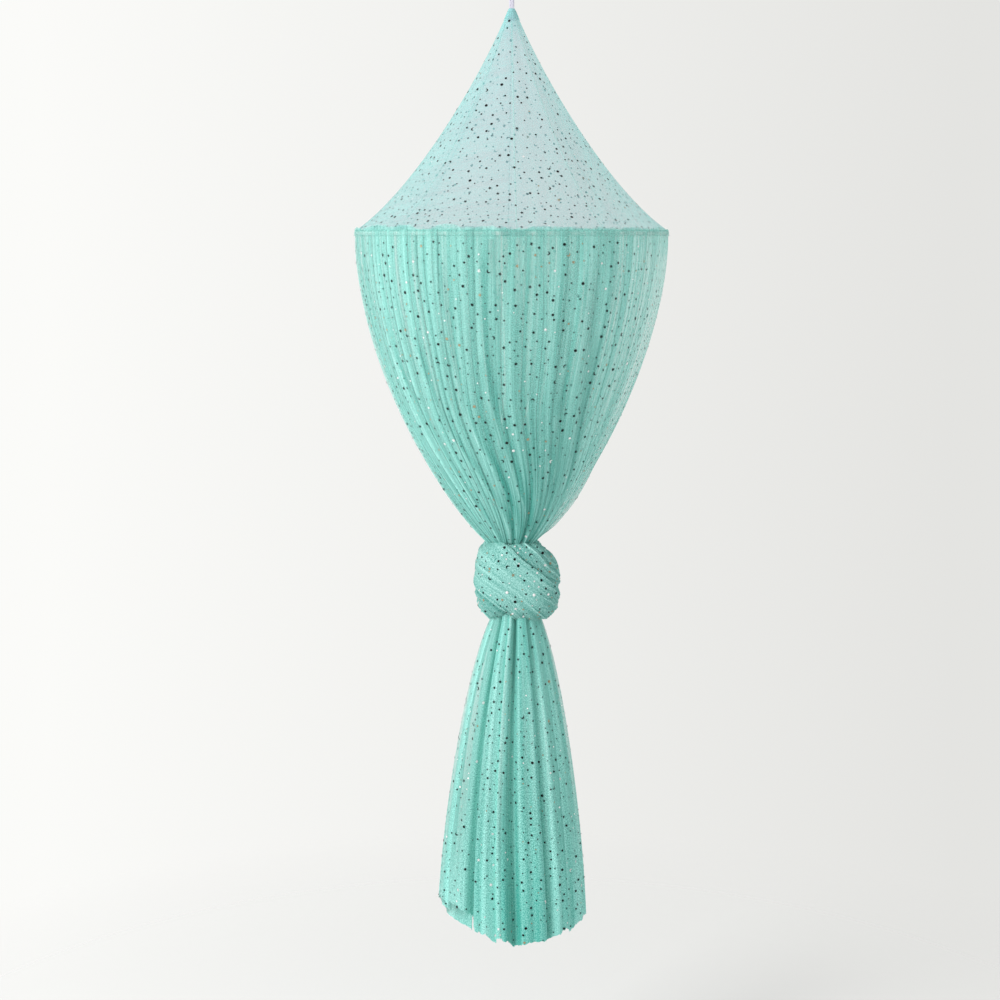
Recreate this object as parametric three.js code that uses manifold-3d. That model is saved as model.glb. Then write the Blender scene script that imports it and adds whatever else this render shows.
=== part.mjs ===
import * as THREE from 'three';
import { mergeVertices } from 'three/addons/utils/BufferGeometryUtils.js';
import Module from 'manifold-3d';

// Bed crown canopy: a net crown on a hoop, hung from the ceiling, its skirt tied in one big knot.
// Millimetres, +Z up, -Y is the front, and the origin is the middle of the plate's ceiling face.

const wasm = await Module();
wasm.setup();

const { PI, abs, cos, floor, max, min, sin } = Math;
const degree = PI / 180;

// Fits
const clearance = 0.3;
const cutOverrun = 1;

// Ceiling plate
const plateRadius = 32;
const plateThickness = 4;
const plateEdge = 1.5;
const bossRadius = 8;
const bossHeight = 9;
const bossFillet = 1.5;
const socketRoof = 3;

// Plate screws
const screwSpacing = 40;
const screwShank = 4;
const screwLength = 30;
const screwHead = 8;
const screwHeadRise = 2.4;
const screwTip = 5;

// Ceiling hook
const hookWire = 5.6;
const hookDrop = 36;
const hookBowl = 12;
const hookNeck = 6;
const hookTip = 8;
const hookFlare = 3;

// Hanging ring
const ringWire = 5;
const ringRadius = 15;

// Hanging strap
const strapWidth = 9.5;
const strapPly = 1.4;
const strapDrop = 118;
const strapEye = 24;
const strapTuck = 16;

// Crown
const crownRadius = 300;
const crownHeight = 417;
const crownTopRadius = 9;
const crownWaistShares = { radius: 0.2, height: 0.67 };
const crownFlareShares = { radius: 0.63, height: 0.19 };
const goreSagShare = 0.025;
const netThickness = 1.8;
const seamAngles = [1.5, 34, 82, 130, 181, 226, 271, 315];
const seamWidth = 7;
const seamThickness = 0.9;
const seamLift = 0.55;
const seamEnd = 3;

// Apex binding
const bindingRoof = 6;
const bindingWall = 2;
const bindingGrip = 16;

// Hoop and its channel
const rodDiameter = 8;
const rodCount = 4;
const rodEndGap = 1;
const connectorWall = 1;
const connectorLength = 40;
const channelWall = 1.2;
const channelSlit = 3;

// Header ruffle
const ruffleHeight = 9;
const ruffleFlare = 4.5;
const ruffleWave = 2;
const ruffleThickness = 1.5;
const ruffleCount = 24;
const ruffleSteps = 3;
const ruffleRolls = 5;

// Skirt
const skirtHeight = 597;
const skirtThickness = 2;
const neckRadius = 49;
const skirtTuck = 18;
const skirtTuckRadius = 43;
const skirtTopFold = 2.5;
const skirtFold = 11;
const skirtFolds = 24;
const skirtShoulderShare = 0.3;
const skirtGatherShares = { radius: 0.62, height: 0.78 };
const skirtDeepestShare = 0.75;
const skirtRollShare = 0.25;
const skirtRolls = 5;
const panelCount = 4;
const openingAngle = 36.5;

// Knot
const knotWidth = 167;
const knotDepth = 152;
const knotHeight = 158;
const knotShift = 10;
const wrapTilt = 37;
const wrapReach = 80;
const wrapWall = 27;
const wrapWidth = 92;
const wrapRidge = 2.5;
const bundleRidge = 2.5;
const bundleSides = 20;
const wrapSides = 18;
const wrapSteps = 26;

// Tail
const tailLength = 590;
const tailTopRadius = 55;
const hemRadius = 149;
const tailShift = 5;
const tailThickness = 2.2;
const tailTuck = 20;
const tailTuckRadius = 48;
const tailTopFold = 6;
const tailFold = 26;
const tailFolds = 12;
const hemWave = 12;
const hemBackDrop = 60;
const tailDepthShare = 0.9;
const tailShoulderShares = { radius: 0.62, height: 0.15 };
const tailFallShares = { radius: 0.93, height: 0.62 };
const tailRollShare = 0.2;
const tailRolls = 3;
const hemBackAngle = 25;

// Smoothness
const roundSteps = 24;
const wireSides = 8;
const goreSteps = 4;
const crownLevels = 9;
const hoopSteps = 36;
const skirtFoldSteps = 3;
const skirtLevels = 8;
const tailFoldSteps = 4;
const tailLevels = 7;

// Heights, measured from the ceiling face
const bossBottom = -plateThickness - bossHeight;
const hookTop = -socketRoof - clearance;
const bowlZ = bossBottom - hookDrop;
const ringPivotZ = bowlZ - hookBowl;
const ringZ = ringPivotZ + (hookWire + ringWire) / 2 + clearance - ringRadius;
const strapPivotZ = ringZ - ringRadius;
const apexZ = strapPivotZ - strapDrop;
const hoopZ = apexZ - crownHeight;

// Sizes of the hoop's channel, from the rod outwards
const rodRadius = rodDiameter / 2;
const connectorBore = rodRadius + clearance;
const connectorRadius = connectorBore + connectorWall;
const channelBore = connectorRadius + clearance;
const channelReach = channelBore + channelWall;
const hoopRadius = crownRadius - channelReach;

// Heights inside the canopy, measured from the hoop
const goreTop = crownHeight - bindingRoof;
const goreBottom = channelReach + clearance;
const skirtTop = -channelReach - clearance;
const knotTop = -skirtHeight;
const knotBottom = knotTop - knotHeight;
const goreBottomRadius = hoopRadius;

const netMaterial = new THREE.MeshStandardMaterial({
  color: '#bfe0dc',
  roughness: 0.8,
  side: THREE.DoubleSide,
});
const seamMaterial = new THREE.MeshStandardMaterial({ color: '#8fcfc0', roughness: 0.8 });
const skirtMaterial = new THREE.MeshStandardMaterial({
  color: '#86cfbd',
  roughness: 0.8,
  side: THREE.DoubleSide,
});
const knotMaterial = new THREE.MeshStandardMaterial({ color: '#7fc4b4', roughness: 0.8 });
const tailMaterial = new THREE.MeshStandardMaterial({
  color: '#74bcae',
  roughness: 0.8,
  side: THREE.DoubleSide,
});
const webbingMaterial = new THREE.MeshStandardMaterial({ color: '#d9d6e4', roughness: 0.7 });
const channelMaterial = new THREE.MeshStandardMaterial({ color: '#a5d8cb', roughness: 0.8 });
const steelMaterial = new THREE.MeshStandardMaterial({ color: '#c9ccd0', roughness: 0.3, metalness: 1 });
const paintMaterial = new THREE.MeshStandardMaterial({ color: '#f2f1ec', roughness: 0.4 });
const rodMaterial = new THREE.MeshStandardMaterial({ color: '#e8e8e4', roughness: 0.5 });
const sleeveMaterial = new THREE.MeshStandardMaterial({ color: '#b9bcc0', roughness: 0.4, metalness: 0.9 });

// A curve drawn in a plane and set up in space by the function that places its points.
class PlacedCurve extends THREE.Curve {
  constructor(path, place) {
    super();
    this.path = path;
    this.place = place;
  }
  getPoint(share, target = new THREE.Vector3()) {
    const point = this.path.getPoint(share);
    return target.set(...this.place(point.x, point.y));
  }
}

function signedVolume(geometry) {
  const position = geometry.getAttribute('position');
  const corners = [new THREE.Vector3(), new THREE.Vector3(), new THREE.Vector3()];
  let volume = 0;
  for (let i = 0; i < geometry.index.count; i += 3) {
    corners.forEach((corner, k) => corner.fromBufferAttribute(position, geometry.index.getX(i + k)));
    volume += corners[0].dot(corners[1].cross(corners[2])) / 6;
  }
  return volume;
}

// Shared vertices are merged, and the faces are turned so that they point out.
function closed(geometry) {
  geometry.deleteAttribute('normal');
  geometry.deleteAttribute('uv');
  const merged = mergeVertices(geometry, clearance / 1000);
  if (signedVolume(merged) < 0) {
    merged.setIndex(Array.from(merged.index.array).reverse());
  }
  return merged;
}

function toSolid(geometry) {
  return new wasm.Manifold(new wasm.Mesh({
    numProp: 3,
    vertProperties: new Float32Array(geometry.getAttribute('position').array),
    triVerts: new Uint32Array(geometry.index.array),
  }));
}

function toGeometry(solid) {
  const mesh = solid.getMesh();
  const geometry = new THREE.BufferGeometry();
  geometry.setAttribute('position', new THREE.BufferAttribute(mesh.vertProperties, 3));
  geometry.setIndex(new THREE.BufferAttribute(mesh.triVerts, 1));
  return geometry;
}

function cut(geometry, ...tools) {
  return toGeometry(tools.reduce((solid, tool) => solid.subtract(toSolid(tool)), toSolid(geometry)));
}

// Rings of equally many points are skinned one after another. An open loft is capped at both ends by
// strips between a ring's first half and its second half; a looped loft runs back into its first ring.
function loft(rings, looped = false) {
  const size = rings[0].length;
  const index = [];
  const quad = (a, b, c, d) => index.push(a, b, c, a, c, d);
  const spans = looped ? rings.length : rings.length - 1;
  for (let j = 0; j < spans; j += 1) {
    const here = j * size;
    const next = ((j + 1) % rings.length) * size;
    for (let i = 0; i < size; i += 1) {
      const k = (i + 1) % size;
      quad(here + i, here + k, next + k, next + i);
    }
  }
  if (!looped) {
    const last = (rings.length - 1) * size;
    for (let i = 0; i + 1 < size / 2; i += 1) {
      const k = size - 1 - i;
      quad(i, k, k - 1, i + 1);
      quad(last + i, last + i + 1, last + k - 1, last + k);
    }
  }
  const geometry = new THREE.BufferGeometry();
  geometry.setAttribute('position', new THREE.Float32BufferAttribute(rings.flat(2), 3));
  geometry.setIndex(index);
  return closed(geometry);
}

function revolve(points, steps = roundSteps) {
  const profile = points.map(([radius, z]) => new THREE.Vector2(radius, z));
  return closed(new THREE.LatheGeometry(profile, steps).rotateX(PI / 2));
}

// A round wire or tube along a curve.
function wire(curve, radius, steps, bore = 0) {
  const section = new THREE.Shape().absarc(0, 0, radius, 0, 2 * PI, false);
  if (bore > 0) {
    section.holes.push(new THREE.Path().absarc(0, 0, bore, 0, 2 * PI, true));
  }
  const settings = { steps, extrudePath: curve, curveSegments: wireSides / 2 };
  return closed(new THREE.ExtrudeGeometry(section, settings));
}

function polar(radius, angle, z) {
  return [radius * sin(angle), -radius * cos(angle), z];
}

function mix(a, b, share) {
  return a + (b - a) * share;
}

function addMesh(group, name, geometry, material) {
  geometry.computeVertexNormals();
  const mesh = new THREE.Mesh(geometry, material);
  mesh.name = name;
  group.add(mesh);
  return mesh;
}

// The plate lies flat on the ceiling, with a boss below it that the hook screws into.
function ceilingPlate() {
  const socket = hookWire / 2 + clearance;
  const plate = revolve([
    [0, 0],
    [plateRadius, 0],
    [plateRadius, plateEdge - plateThickness],
    [plateRadius - plateEdge * (1 - cos(PI / 4)), plateEdge * (1 - sin(PI / 4)) - plateThickness],
    [plateRadius - plateEdge, -plateThickness],
    [bossRadius + bossFillet, -plateThickness],
    [bossRadius, -plateThickness - bossFillet],
    [bossRadius, bossBottom + plateEdge],
    [bossRadius - plateEdge, bossBottom],
    [socket, bossBottom],
    [socket, -socketRoof],
    [0, -socketRoof],
  ]);
  const holes = [-1, 1].map((side) => {
    const hole = revolve(screwProfile(clearance, cutOverrun));
    return hole.translate(side * screwSpacing / 2, 0, -plateThickness);
  });
  return cut(plate, ...holes);
}

// A countersunk screw, head down, from the plate's lower face upwards.
function screwProfile(extra, overrun) {
  const head = screwHead / 2 + extra;
  const shank = screwShank / 2 + extra;
  return [
    [0, -overrun],
    [head, -overrun],
    [head, extra],
    [shank, screwHeadRise + extra],
    [shank, screwLength - screwTip],
    [0, screwLength],
  ];
}

function ceilingHook() {
  const path = new THREE.Path();
  path.moveTo(0, hookTop);
  path.lineTo(0, bossBottom - hookNeck);
  path.bezierCurveTo(0, bowlZ + hookBowl, hookBowl, bowlZ + hookBowl, hookBowl, bowlZ);
  path.absarc(0, bowlZ, hookBowl, 0, -PI, true);
  path.quadraticCurveTo(-hookBowl, bowlZ + hookTip / 2, -hookBowl - hookFlare, bowlZ + hookTip);
  return wire(new PlacedCurve(path, (y, z) => [0, y, z]), hookWire / 2, roundSteps);
}

function hangingRing() {
  const ring = new THREE.TorusGeometry(ringRadius, ringWire / 2, wireSides, roundSteps);
  return closed(ring.rotateX(PI / 2));
}

// The strap runs over the ring's lowest stretch and is sewn to itself below it.
function hangingStrap() {
  const ringSag = strapWidth ** 2 / (8 * ringRadius);
  const eye = ringWire / 2 + ringSag + clearance;
  const outer = eye + strapPly;
  const eyeZ = crownHeight + strapDrop;
  const join = eyeZ - strapEye;
  const bottom = crownHeight - bindingRoof - strapTuck;
  const outline = new THREE.Shape();
  outline.moveTo(strapPly, bottom);
  outline.lineTo(strapPly, join);
  outline.quadraticCurveTo(outer, join + strapEye / 2, outer, eyeZ);
  outline.absarc(0, eyeZ, outer, 0, PI, false);
  outline.quadraticCurveTo(-outer, join + strapEye / 2, -strapPly, join);
  outline.lineTo(-strapPly, bottom);
  outline.closePath();
  const slot = new THREE.Path();
  slot.moveTo(0, join + strapPly);
  slot.quadraticCurveTo(eye, join + strapEye / 2 + strapPly, eye, eyeZ);
  slot.absarc(0, eyeZ, eye, 0, PI, false);
  slot.quadraticCurveTo(-eye, join + strapEye / 2 + strapPly, 0, join + strapPly);
  outline.holes.push(slot);
  const settings = { depth: strapWidth, bevelEnabled: false, curveSegments: wireSides / 2 };
  const strap = new THREE.ExtrudeGeometry(outline, settings);
  strap.applyMatrix4(new THREE.Matrix4().makeBasis(
    new THREE.Vector3(0, 1, 0),
    new THREE.Vector3(0, 0, 1),
    new THREE.Vector3(1, 0, 0),
  ));
  return closed(strap.translate(-strapWidth / 2, 0, 0));
}

// Half the cone's section: from its top, past a narrow waist, out to the hoop.
const crownOutline = new THREE.CubicBezierCurve(
  new THREE.Vector2(crownTopRadius, goreTop),
  new THREE.Vector2(crownWaistShares.radius * crownRadius, crownWaistShares.height * crownHeight),
  new THREE.Vector2(crownFlareShares.radius * crownRadius, crownFlareShares.height * crownHeight),
  new THREE.Vector2(goreBottomRadius, goreBottom),
);

function seamStart(number) {
  return seamAngles[number % seamAngles.length] * degree;
}

function goreSpan(number) {
  const turned = number + 1 === seamAngles.length ? 2 * PI : 0;
  return seamStart(number + 1) + turned - seamStart(number);
}

// The cone's outline runs straight between its levels, as the facets of the gores do.
function crownPoint(level) {
  const below = min(floor(level * crownLevels), crownLevels - 1);
  const start = crownOutline.getPoint(below / crownLevels);
  return start.lerp(crownOutline.getPoint((below + 1) / crownLevels), level * crownLevels - below);
}

// The net hangs a little slack between two seams.
function goreRadius(level, across) {
  return crownPoint(level).x * (1 - goreSagShare * sin(PI * level) * sin(PI * across));
}

function crownGore(number) {
  const start = seamStart(number);
  const span = goreSpan(number);
  const rings = [];
  for (let j = 0; j <= crownLevels; j += 1) {
    const level = j / crownLevels;
    const { x: seamRadius, y: z } = crownPoint(level);
    const margin = clearance / 2 / (seamRadius - netThickness);
    const outer = [];
    const inner = [];
    for (let i = 0; i <= goreSteps; i += 1) {
      const across = i / goreSteps;
      const angle = start + margin + (span - 2 * margin) * across;
      const radius = goreRadius(level, across);
      outer.push(polar(radius, angle, z));
      inner.unshift(polar(radius - netThickness, angle, z));
    }
    rings.push([...outer, ...inner]);
  }
  return loft(rings);
}

// A narrow folded tape along the outside of the seam that starts the gore.
function seamBinding(number) {
  const before = (number + seamAngles.length - 1) % seamAngles.length;
  const rings = [];
  const lastFacet = crownPoint(1 - 1 / crownLevels).y - goreBottom;
  for (let j = 1; j <= crownLevels; j += 1) {
    const level = min(j / crownLevels, 1 - seamEnd / lastFacet / crownLevels);
    const { x: seamRadius, y: z } = crownPoint(level);
    const offsets = [[-1, goreSpan(before)], [0, 1], [1, goreSpan(number)]];
    const outer = [];
    const inner = [];
    offsets.forEach(([side, span]) => {
      const half = min(seamWidth / 2 / seamRadius, span / goreSteps);
      const share = abs(side) * half / (span / goreSteps);
      const slack = goreRadius(level, 1 / goreSteps) * cos(half * abs(side));
      const base = mix(seamRadius, max(slack, seamRadius * cos(half)), share) + seamLift;
      const angle = seamStart(number) + side * half;
      outer.push(polar(base + seamThickness, angle, z));
      inner.unshift(polar(base, angle, z));
    });
    rings.push([...outer, ...inner]);
  }
  return loft(rings);
}

// The collar that gathers the gores' tops and holds the strap's sewn end.
function apexBinding() {
  const firstFacet = goreTop - crownPoint(1 / crownLevels).y;
  const lower = crownPoint(bindingGrip / firstFacet / crownLevels);
  const grip = lower.x + clearance;
  const top = crownTopRadius + clearance;
  const collar = revolve([
    [0, crownHeight],
    [top, crownHeight],
    [top + bindingWall, crownHeight - bindingWall],
    [grip + bindingWall, lower.y],
    [grip, lower.y],
    [top, goreTop + clearance],
    [0, goreTop + clearance],
  ]);
  const slot = new THREE.BoxGeometry(
    strapWidth + 2 * clearance,
    2 * (strapPly + clearance),
    bindingRoof + 2 * cutOverrun,
  );
  slot.translate(0, 0, crownHeight - bindingRoof / 2);
  return cut(collar, closed(slot));
}

// The channel is sewn round the hoop and stays open in a slit that faces inwards.
function hoopChannel() {
  const corner = (reach, number) => {
    const angle = (number + 0.5) * PI / 4 - PI;
    const distance = reach / cos(PI / 8);
    return [hoopRadius + distance * cos(angle), distance * sin(angle)];
  };
  const numbers = [0, 1, 2, 3, 4, 5, 6, 7];
  const outside = numbers.map((number) => corner(channelReach, number));
  const inside = numbers.map((number) => corner(channelBore, number)).reverse();
  const profile = [
    [hoopRadius - channelReach, -channelSlit / 2],
    ...outside,
    [hoopRadius - channelReach, channelSlit / 2],
    [hoopRadius - channelBore, channelSlit / 2],
    ...inside,
    [hoopRadius - channelBore, -channelSlit / 2],
  ];
  return revolve([...profile, profile[0]], hoopSteps);
}

function hoopRod(number) {
  const gap = rodEndGap / 2 / hoopRadius;
  const start = number * 2 * PI / rodCount + gap;
  const end = (number + 1) * 2 * PI / rodCount - gap;
  const arc = new THREE.EllipseCurve(0, 0, hoopRadius, hoopRadius, start, end, false, 0);
  return wire(new PlacedCurve(arc, (x, y) => [x, y, 0]), rodRadius, hoopSteps / rodCount);
}

// A sleeve over two rod ends: it follows the rods' own facets, one on each side of the joint.
function hoopConnector(number) {
  const joint = number * 2 * PI / rodCount;
  const facet = 2 * PI / hoopSteps;
  const at = (angle) => new THREE.Vector2(hoopRadius * cos(angle), hoopRadius * sin(angle));
  const share = connectorLength / 2 / at(0).distanceTo(at(facet));
  const path = new THREE.Path();
  const start = at(joint).lerp(at(joint - facet), share);
  const middle = at(joint);
  const end = at(joint).lerp(at(joint + facet), share);
  path.moveTo(start.x, start.y);
  path.lineTo(middle.x, middle.y);
  path.lineTo(end.x, end.y);
  return wire(new PlacedCurve(path, (x, y) => [x, y, 0]), connectorRadius, 2, connectorBore);
}

// The gathered edge of the skirt's net that stands above the channel, round the cone's foot.
function headerRuffle() {
  const base = goreBottomRadius + 3 * clearance;
  const steps = ruffleCount * ruffleSteps;
  const sections = [];
  for (let i = 0; i < steps; i += 1) {
    const angle = 2 * PI * i / steps;
    const wave = cos(ruffleCount * angle);
    const lean = ruffleFlare + ruffleWave * wave;
    const top = goreBottom + ruffleHeight + ruffleWave * sin(ruffleRolls * angle) / 2;
    sections.push([
      polar(base, angle, goreBottom),
      polar(base + ruffleThickness, angle, goreBottom),
      polar(base + ruffleThickness + lean, angle, top),
      polar(base + lean, angle, top),
    ]);
  }
  return loft(sections, true);
}

// A cloth panel: each level is a row of points on its outside and back on its inside.
function clothPanel({ number, steps, levels, thickness, surface }) {
  const span = 2 * PI / panelCount;
  const start = openingAngle * degree + number * span;
  const rings = [];
  for (let j = 0; j <= levels; j += 1) {
    const outer = [];
    const inner = [];
    for (let i = 0; i <= steps; i += 1) {
      const share = i / steps;
      const seam = i === 0 ? 1 : (i === steps ? -1 : 0);
      const angle = start + span * share;
      const [radius, z, shift, depth] = surface(j / levels, angle);
      const turned = angle + seam * clearance / 2 / (radius - thickness) / depth;
      const place = (reach) => {
        const [x, y] = polar(reach, turned, z);
        return [x + shift, y * depth, z];
      };
      outer.push(place(radius));
      inner.unshift(place(radius - thickness));
    }
    rings.push([...outer, ...inner]);
  }
  return loft(rings);
}

// Half the skirt's section: straight down from the channel, then in to the neck above the knot.
const skirtOutline = new THREE.CubicBezierCurve(
  new THREE.Vector2(crownRadius - clearance, skirtTop),
  new THREE.Vector2(crownRadius, -skirtShoulderShare * skirtHeight),
  new THREE.Vector2(skirtGatherShares.radius * crownRadius, -skirtGatherShares.height * skirtHeight),
  new THREE.Vector2(neckRadius, knotTop),
);

function foldAt(angle, folds) {
  return (1 - cos(folds * (angle - openingAngle * degree))) / 2;
}

function skirtSurface(level, angle) {
  const above = min(level * (skirtLevels + 1) / skirtLevels, 1);
  const tucked = level === 1;
  const point = skirtOutline.getPoint(tucked ? 1 : above);
  const depth = skirtTopFold + (skirtFold - skirtTopFold) * sin(PI * min(above, skirtDeepestShare));
  const uneven = 1 + skirtRollShare * sin(skirtRolls * angle);
  const radius = tucked ? skirtTuckRadius : point.x - depth * uneven * (1 - foldAt(angle, skirtFolds));
  return [radius, tucked ? knotTop - skirtTuck : point.y, 0, 1];
}

// The bundle of net that runs down through the knot: height, sideways place, width and depth shares.
const bundleShares = [
  [-0.08, -0.12, 0.40, 0.44],
  [0.02, -0.10, 0.60, 0.63],
  [0.12, -0.06, 0.74, 0.72],
  [0.25, 0.09, 0.85, 0.76],
  [0.40, 0.18, 0.86, 0.74],
  [0.53, 0.09, 0.90, 0.72],
  [0.67, -0.02, 0.96, 0.74],
  [0.80, -0.05, 0.94, 0.76],
  [0.90, -0.02, 0.80, 0.74],
  [0.98, 0, 0.64, 0.66],
  [1.08, -0.02, 0.50, 0.55],
];

function knotBundle(extra) {
  const rings = bundleShares.map(([height, side, width, depth]) => {
    const ring = [];
    for (let i = 0; i < bundleSides; i += 1) {
      const angle = 2 * PI * i / bundleSides;
      const ridge = i % 2 === 0 ? extra : extra - bundleRidge;
      const x = knotShift + side * knotWidth / 2 + (width * knotWidth / 2 + ridge) * sin(angle);
      const y = -(depth * knotDepth / 2 + ridge) * cos(angle);
      ring.push([x, y, knotTop - height * knotHeight]);
    }
    return ring;
  });
  return loft(rings);
}

// The bundle of net that is wound once round the other one, from the upper left to the lower right.
function knotWrap(extra) {
  const axis = new THREE.Vector3(sin(wrapTilt * degree), 0, cos(wrapTilt * degree));
  const across = new THREE.Vector3(cos(wrapTilt * degree), 0, -sin(wrapTilt * degree));
  const centre = new THREE.Vector3(knotShift, 0, knotTop - knotHeight / 2);
  const sections = [];
  for (let j = 0; j < wrapSteps; j += 1) {
    const turned = 2 * PI * j / wrapSteps;
    const depthShare = knotDepth / 2 / wrapReach;
    const outwards = across.clone().multiplyScalar(sin(turned));
    outwards.y = -cos(turned) * depthShare;
    const middle = wrapReach - wrapWall;
    const section = [];
    for (let i = 0; i < wrapSides; i += 1) {
      const angle = 2 * PI * i / wrapSides;
      const ridge = i % 2 === 0 ? extra : extra - wrapRidge;
      const reach = middle + (wrapWall + ridge) * cos(angle);
      const point = centre.clone().addScaledVector(outwards, reach);
      point.addScaledVector(axis, (wrapWidth / 2 + ridge) * sin(angle));
      section.push(point.toArray());
    }
    sections.push(section);
  }
  return loft(sections, true);
}

// Half the tail's section: it spreads from under the knot and then hangs nearly straight.
const tailOutline = new THREE.CubicBezierCurve(
  new THREE.Vector2(tailTopRadius, knotBottom),
  new THREE.Vector2(tailShoulderShares.radius * hemRadius, knotBottom - tailShoulderShares.height * tailLength),
  new THREE.Vector2(tailFallShares.radius * hemRadius, knotBottom - tailFallShares.height * tailLength),
  new THREE.Vector2(hemRadius, knotBottom - tailLength),
);

function tailSurface(level, angle) {
  const step = 1 / tailLevels;
  const shift = mix(knotShift, tailShift, level);
  if (level === 0) {
    return [tailTuckRadius, knotBottom + tailTuck, shift, 1];
  }
  const below = (level - step) / (1 - step);
  const point = tailOutline.getPoint(below);
  const rolling = 1 + tailRollShare * cos(tailRolls * angle);
  const depth = mix(tailTopFold, tailFold, below) * rolling;
  const radius = point.x - depth * (1 - foldAt(angle, tailFolds));
  const back = max(0, -cos(angle + hemBackAngle * degree));
  const uneven = (hemWave * sin(tailRolls * angle) - hemBackDrop * back) * below ** 2;
  return [radius, point.y + uneven, shift, mix(1, tailDepthShare, level)];
}

const part = new THREE.Group();

const fixture = new THREE.Group();
part.add(fixture);
addMesh(fixture, 'ceiling_plate', ceilingPlate(), paintMaterial);
addMesh(fixture, 'ceiling_hook', ceilingHook(), steelMaterial);
[['left', -1], ['right', 1]].forEach(([side, sign]) => {
  const screw = addMesh(fixture, `plate_screw_${side}`, revolve(screwProfile(0, 0)), steelMaterial);
  screw.position.set(sign * screwSpacing / 2, 0, -plateThickness);
});

const ring = addMesh(part, 'hanging_ring', hangingRing(), steelMaterial);
ring.position.set(0, 0, ringZ);

const canopy = new THREE.Group();
canopy.position.set(0, 0, hoopZ);
part.add(canopy);
addMesh(canopy, 'hanging_strap', hangingStrap(), webbingMaterial);
addMesh(canopy, 'apex_binding', apexBinding(), seamMaterial);
seamAngles.forEach((_, number) => {
  addMesh(canopy, `crown_gore_${number + 1}`, crownGore(number), netMaterial);
  addMesh(canopy, `seam_binding_${number + 1}`, seamBinding(number), seamMaterial);
});
for (let number = 0; number < rodCount; number += 1) {
  addMesh(canopy, `hoop_rod_${number + 1}`, hoopRod(number), rodMaterial);
  addMesh(canopy, `hoop_connector_${number + 1}`, hoopConnector(number), sleeveMaterial);
}
addMesh(canopy, 'hoop_channel', hoopChannel(), channelMaterial);
addMesh(canopy, 'header_ruffle', headerRuffle(), channelMaterial);

const bundleTool = knotBundle(clearance);
const wrapTool = knotWrap(clearance);
addMesh(canopy, 'knot_bundle', knotBundle(0), knotMaterial);
addMesh(canopy, 'knot_wrap', cut(knotWrap(0), bundleTool), knotMaterial);
for (let number = 0; number < panelCount; number += 1) {
  const skirtPanel = clothPanel({
    number,
    steps: skirtFolds * skirtFoldSteps / panelCount,
    levels: skirtLevels + 1,
    thickness: skirtThickness,
    surface: skirtSurface,
  });
  const tailPanel = clothPanel({
    number,
    steps: tailFolds * tailFoldSteps / panelCount,
    levels: tailLevels,
    thickness: tailThickness,
    surface: tailSurface,
  });
  addMesh(canopy, `skirt_panel_${number + 1}`, cut(skirtPanel, bundleTool, wrapTool), skirtMaterial);
  addMesh(canopy, `tail_panel_${number + 1}`, cut(tailPanel, bundleTool, wrapTool), tailMaterial);
}

export default part;
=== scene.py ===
"""Round net bed canopy with a knotted skirt, built over its packed frame.

Every length is in metres. The front faces -Y. Angles round the canopy start at the front and grow towards
+X.
"""

import math

import bpy
import numpy as np
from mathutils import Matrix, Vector
from mathutils.bvhtree import BVHTree


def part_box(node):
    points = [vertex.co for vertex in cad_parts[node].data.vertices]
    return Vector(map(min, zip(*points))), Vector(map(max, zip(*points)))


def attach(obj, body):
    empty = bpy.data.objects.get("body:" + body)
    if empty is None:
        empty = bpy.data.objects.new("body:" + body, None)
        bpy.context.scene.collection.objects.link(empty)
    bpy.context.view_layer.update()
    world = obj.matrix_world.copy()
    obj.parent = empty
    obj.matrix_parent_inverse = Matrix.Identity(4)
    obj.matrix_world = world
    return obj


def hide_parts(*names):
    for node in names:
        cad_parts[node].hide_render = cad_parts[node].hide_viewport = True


bl_info = {
    "name": "Bed crown canopy",
    "version": (1, 0, 0),
    "blender": (4, 5, 0),
    "location": "View3D > Sidebar > Canopy",
    "description": "Builds a round net bed canopy with a knotted skirt over its packed frame",
    "category": "Object",
}

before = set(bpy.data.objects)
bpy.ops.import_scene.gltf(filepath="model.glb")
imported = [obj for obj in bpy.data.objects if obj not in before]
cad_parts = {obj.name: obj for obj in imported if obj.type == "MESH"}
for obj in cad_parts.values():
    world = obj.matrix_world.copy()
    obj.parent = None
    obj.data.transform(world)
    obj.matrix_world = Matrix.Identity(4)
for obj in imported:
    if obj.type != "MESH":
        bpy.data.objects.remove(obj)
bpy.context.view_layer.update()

CANOPY = "canopy"
FIXTURE = "ceiling_fixture"
RING = "ring"
PANELS = (1, 2, 3, 4)
SEAM_ANGLES = (1.5, 34, 82, 130, 181, 226, 271, 315)
OPENING_ANGLE = 36.5
WHOLE_TURN = 2 * math.pi

CHANNEL_LOW, CHANNEL_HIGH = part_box("hoop_channel")
BINDING_LOW, BINDING_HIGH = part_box("apex_binding")
GORE_LOW, GORE_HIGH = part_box("crown_gore_1")
STRAP_LOW, STRAP_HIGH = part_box("hanging_strap")
RING_LOW, RING_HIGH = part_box("hanging_ring")
PLATE_LOW, PLATE_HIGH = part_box("ceiling_plate")
HOOK_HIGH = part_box("ceiling_hook")[1]
SCREW_LOW, SCREW_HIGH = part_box("plate_screw_right")

HOOP_Z = (CHANNEL_LOW.z + CHANNEL_HIGH.z) / 2
CHANNEL_REACH = (CHANNEL_HIGH.z - CHANNEL_LOW.z) / 2
CROWN_RADIUS = CHANNEL_HIGH.x
HOOP_RADIUS = CROWN_RADIUS - CHANNEL_REACH
SCREW_X = (SCREW_LOW.x + SCREW_HIGH.x) / 2


# ---------------------------------------------------------------- numbers and curves


def mix(low, high, share):
    return low + (high - low) * share


def smoothed(share):
    return share * share * (3.0 - 2.0 * share)


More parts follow.
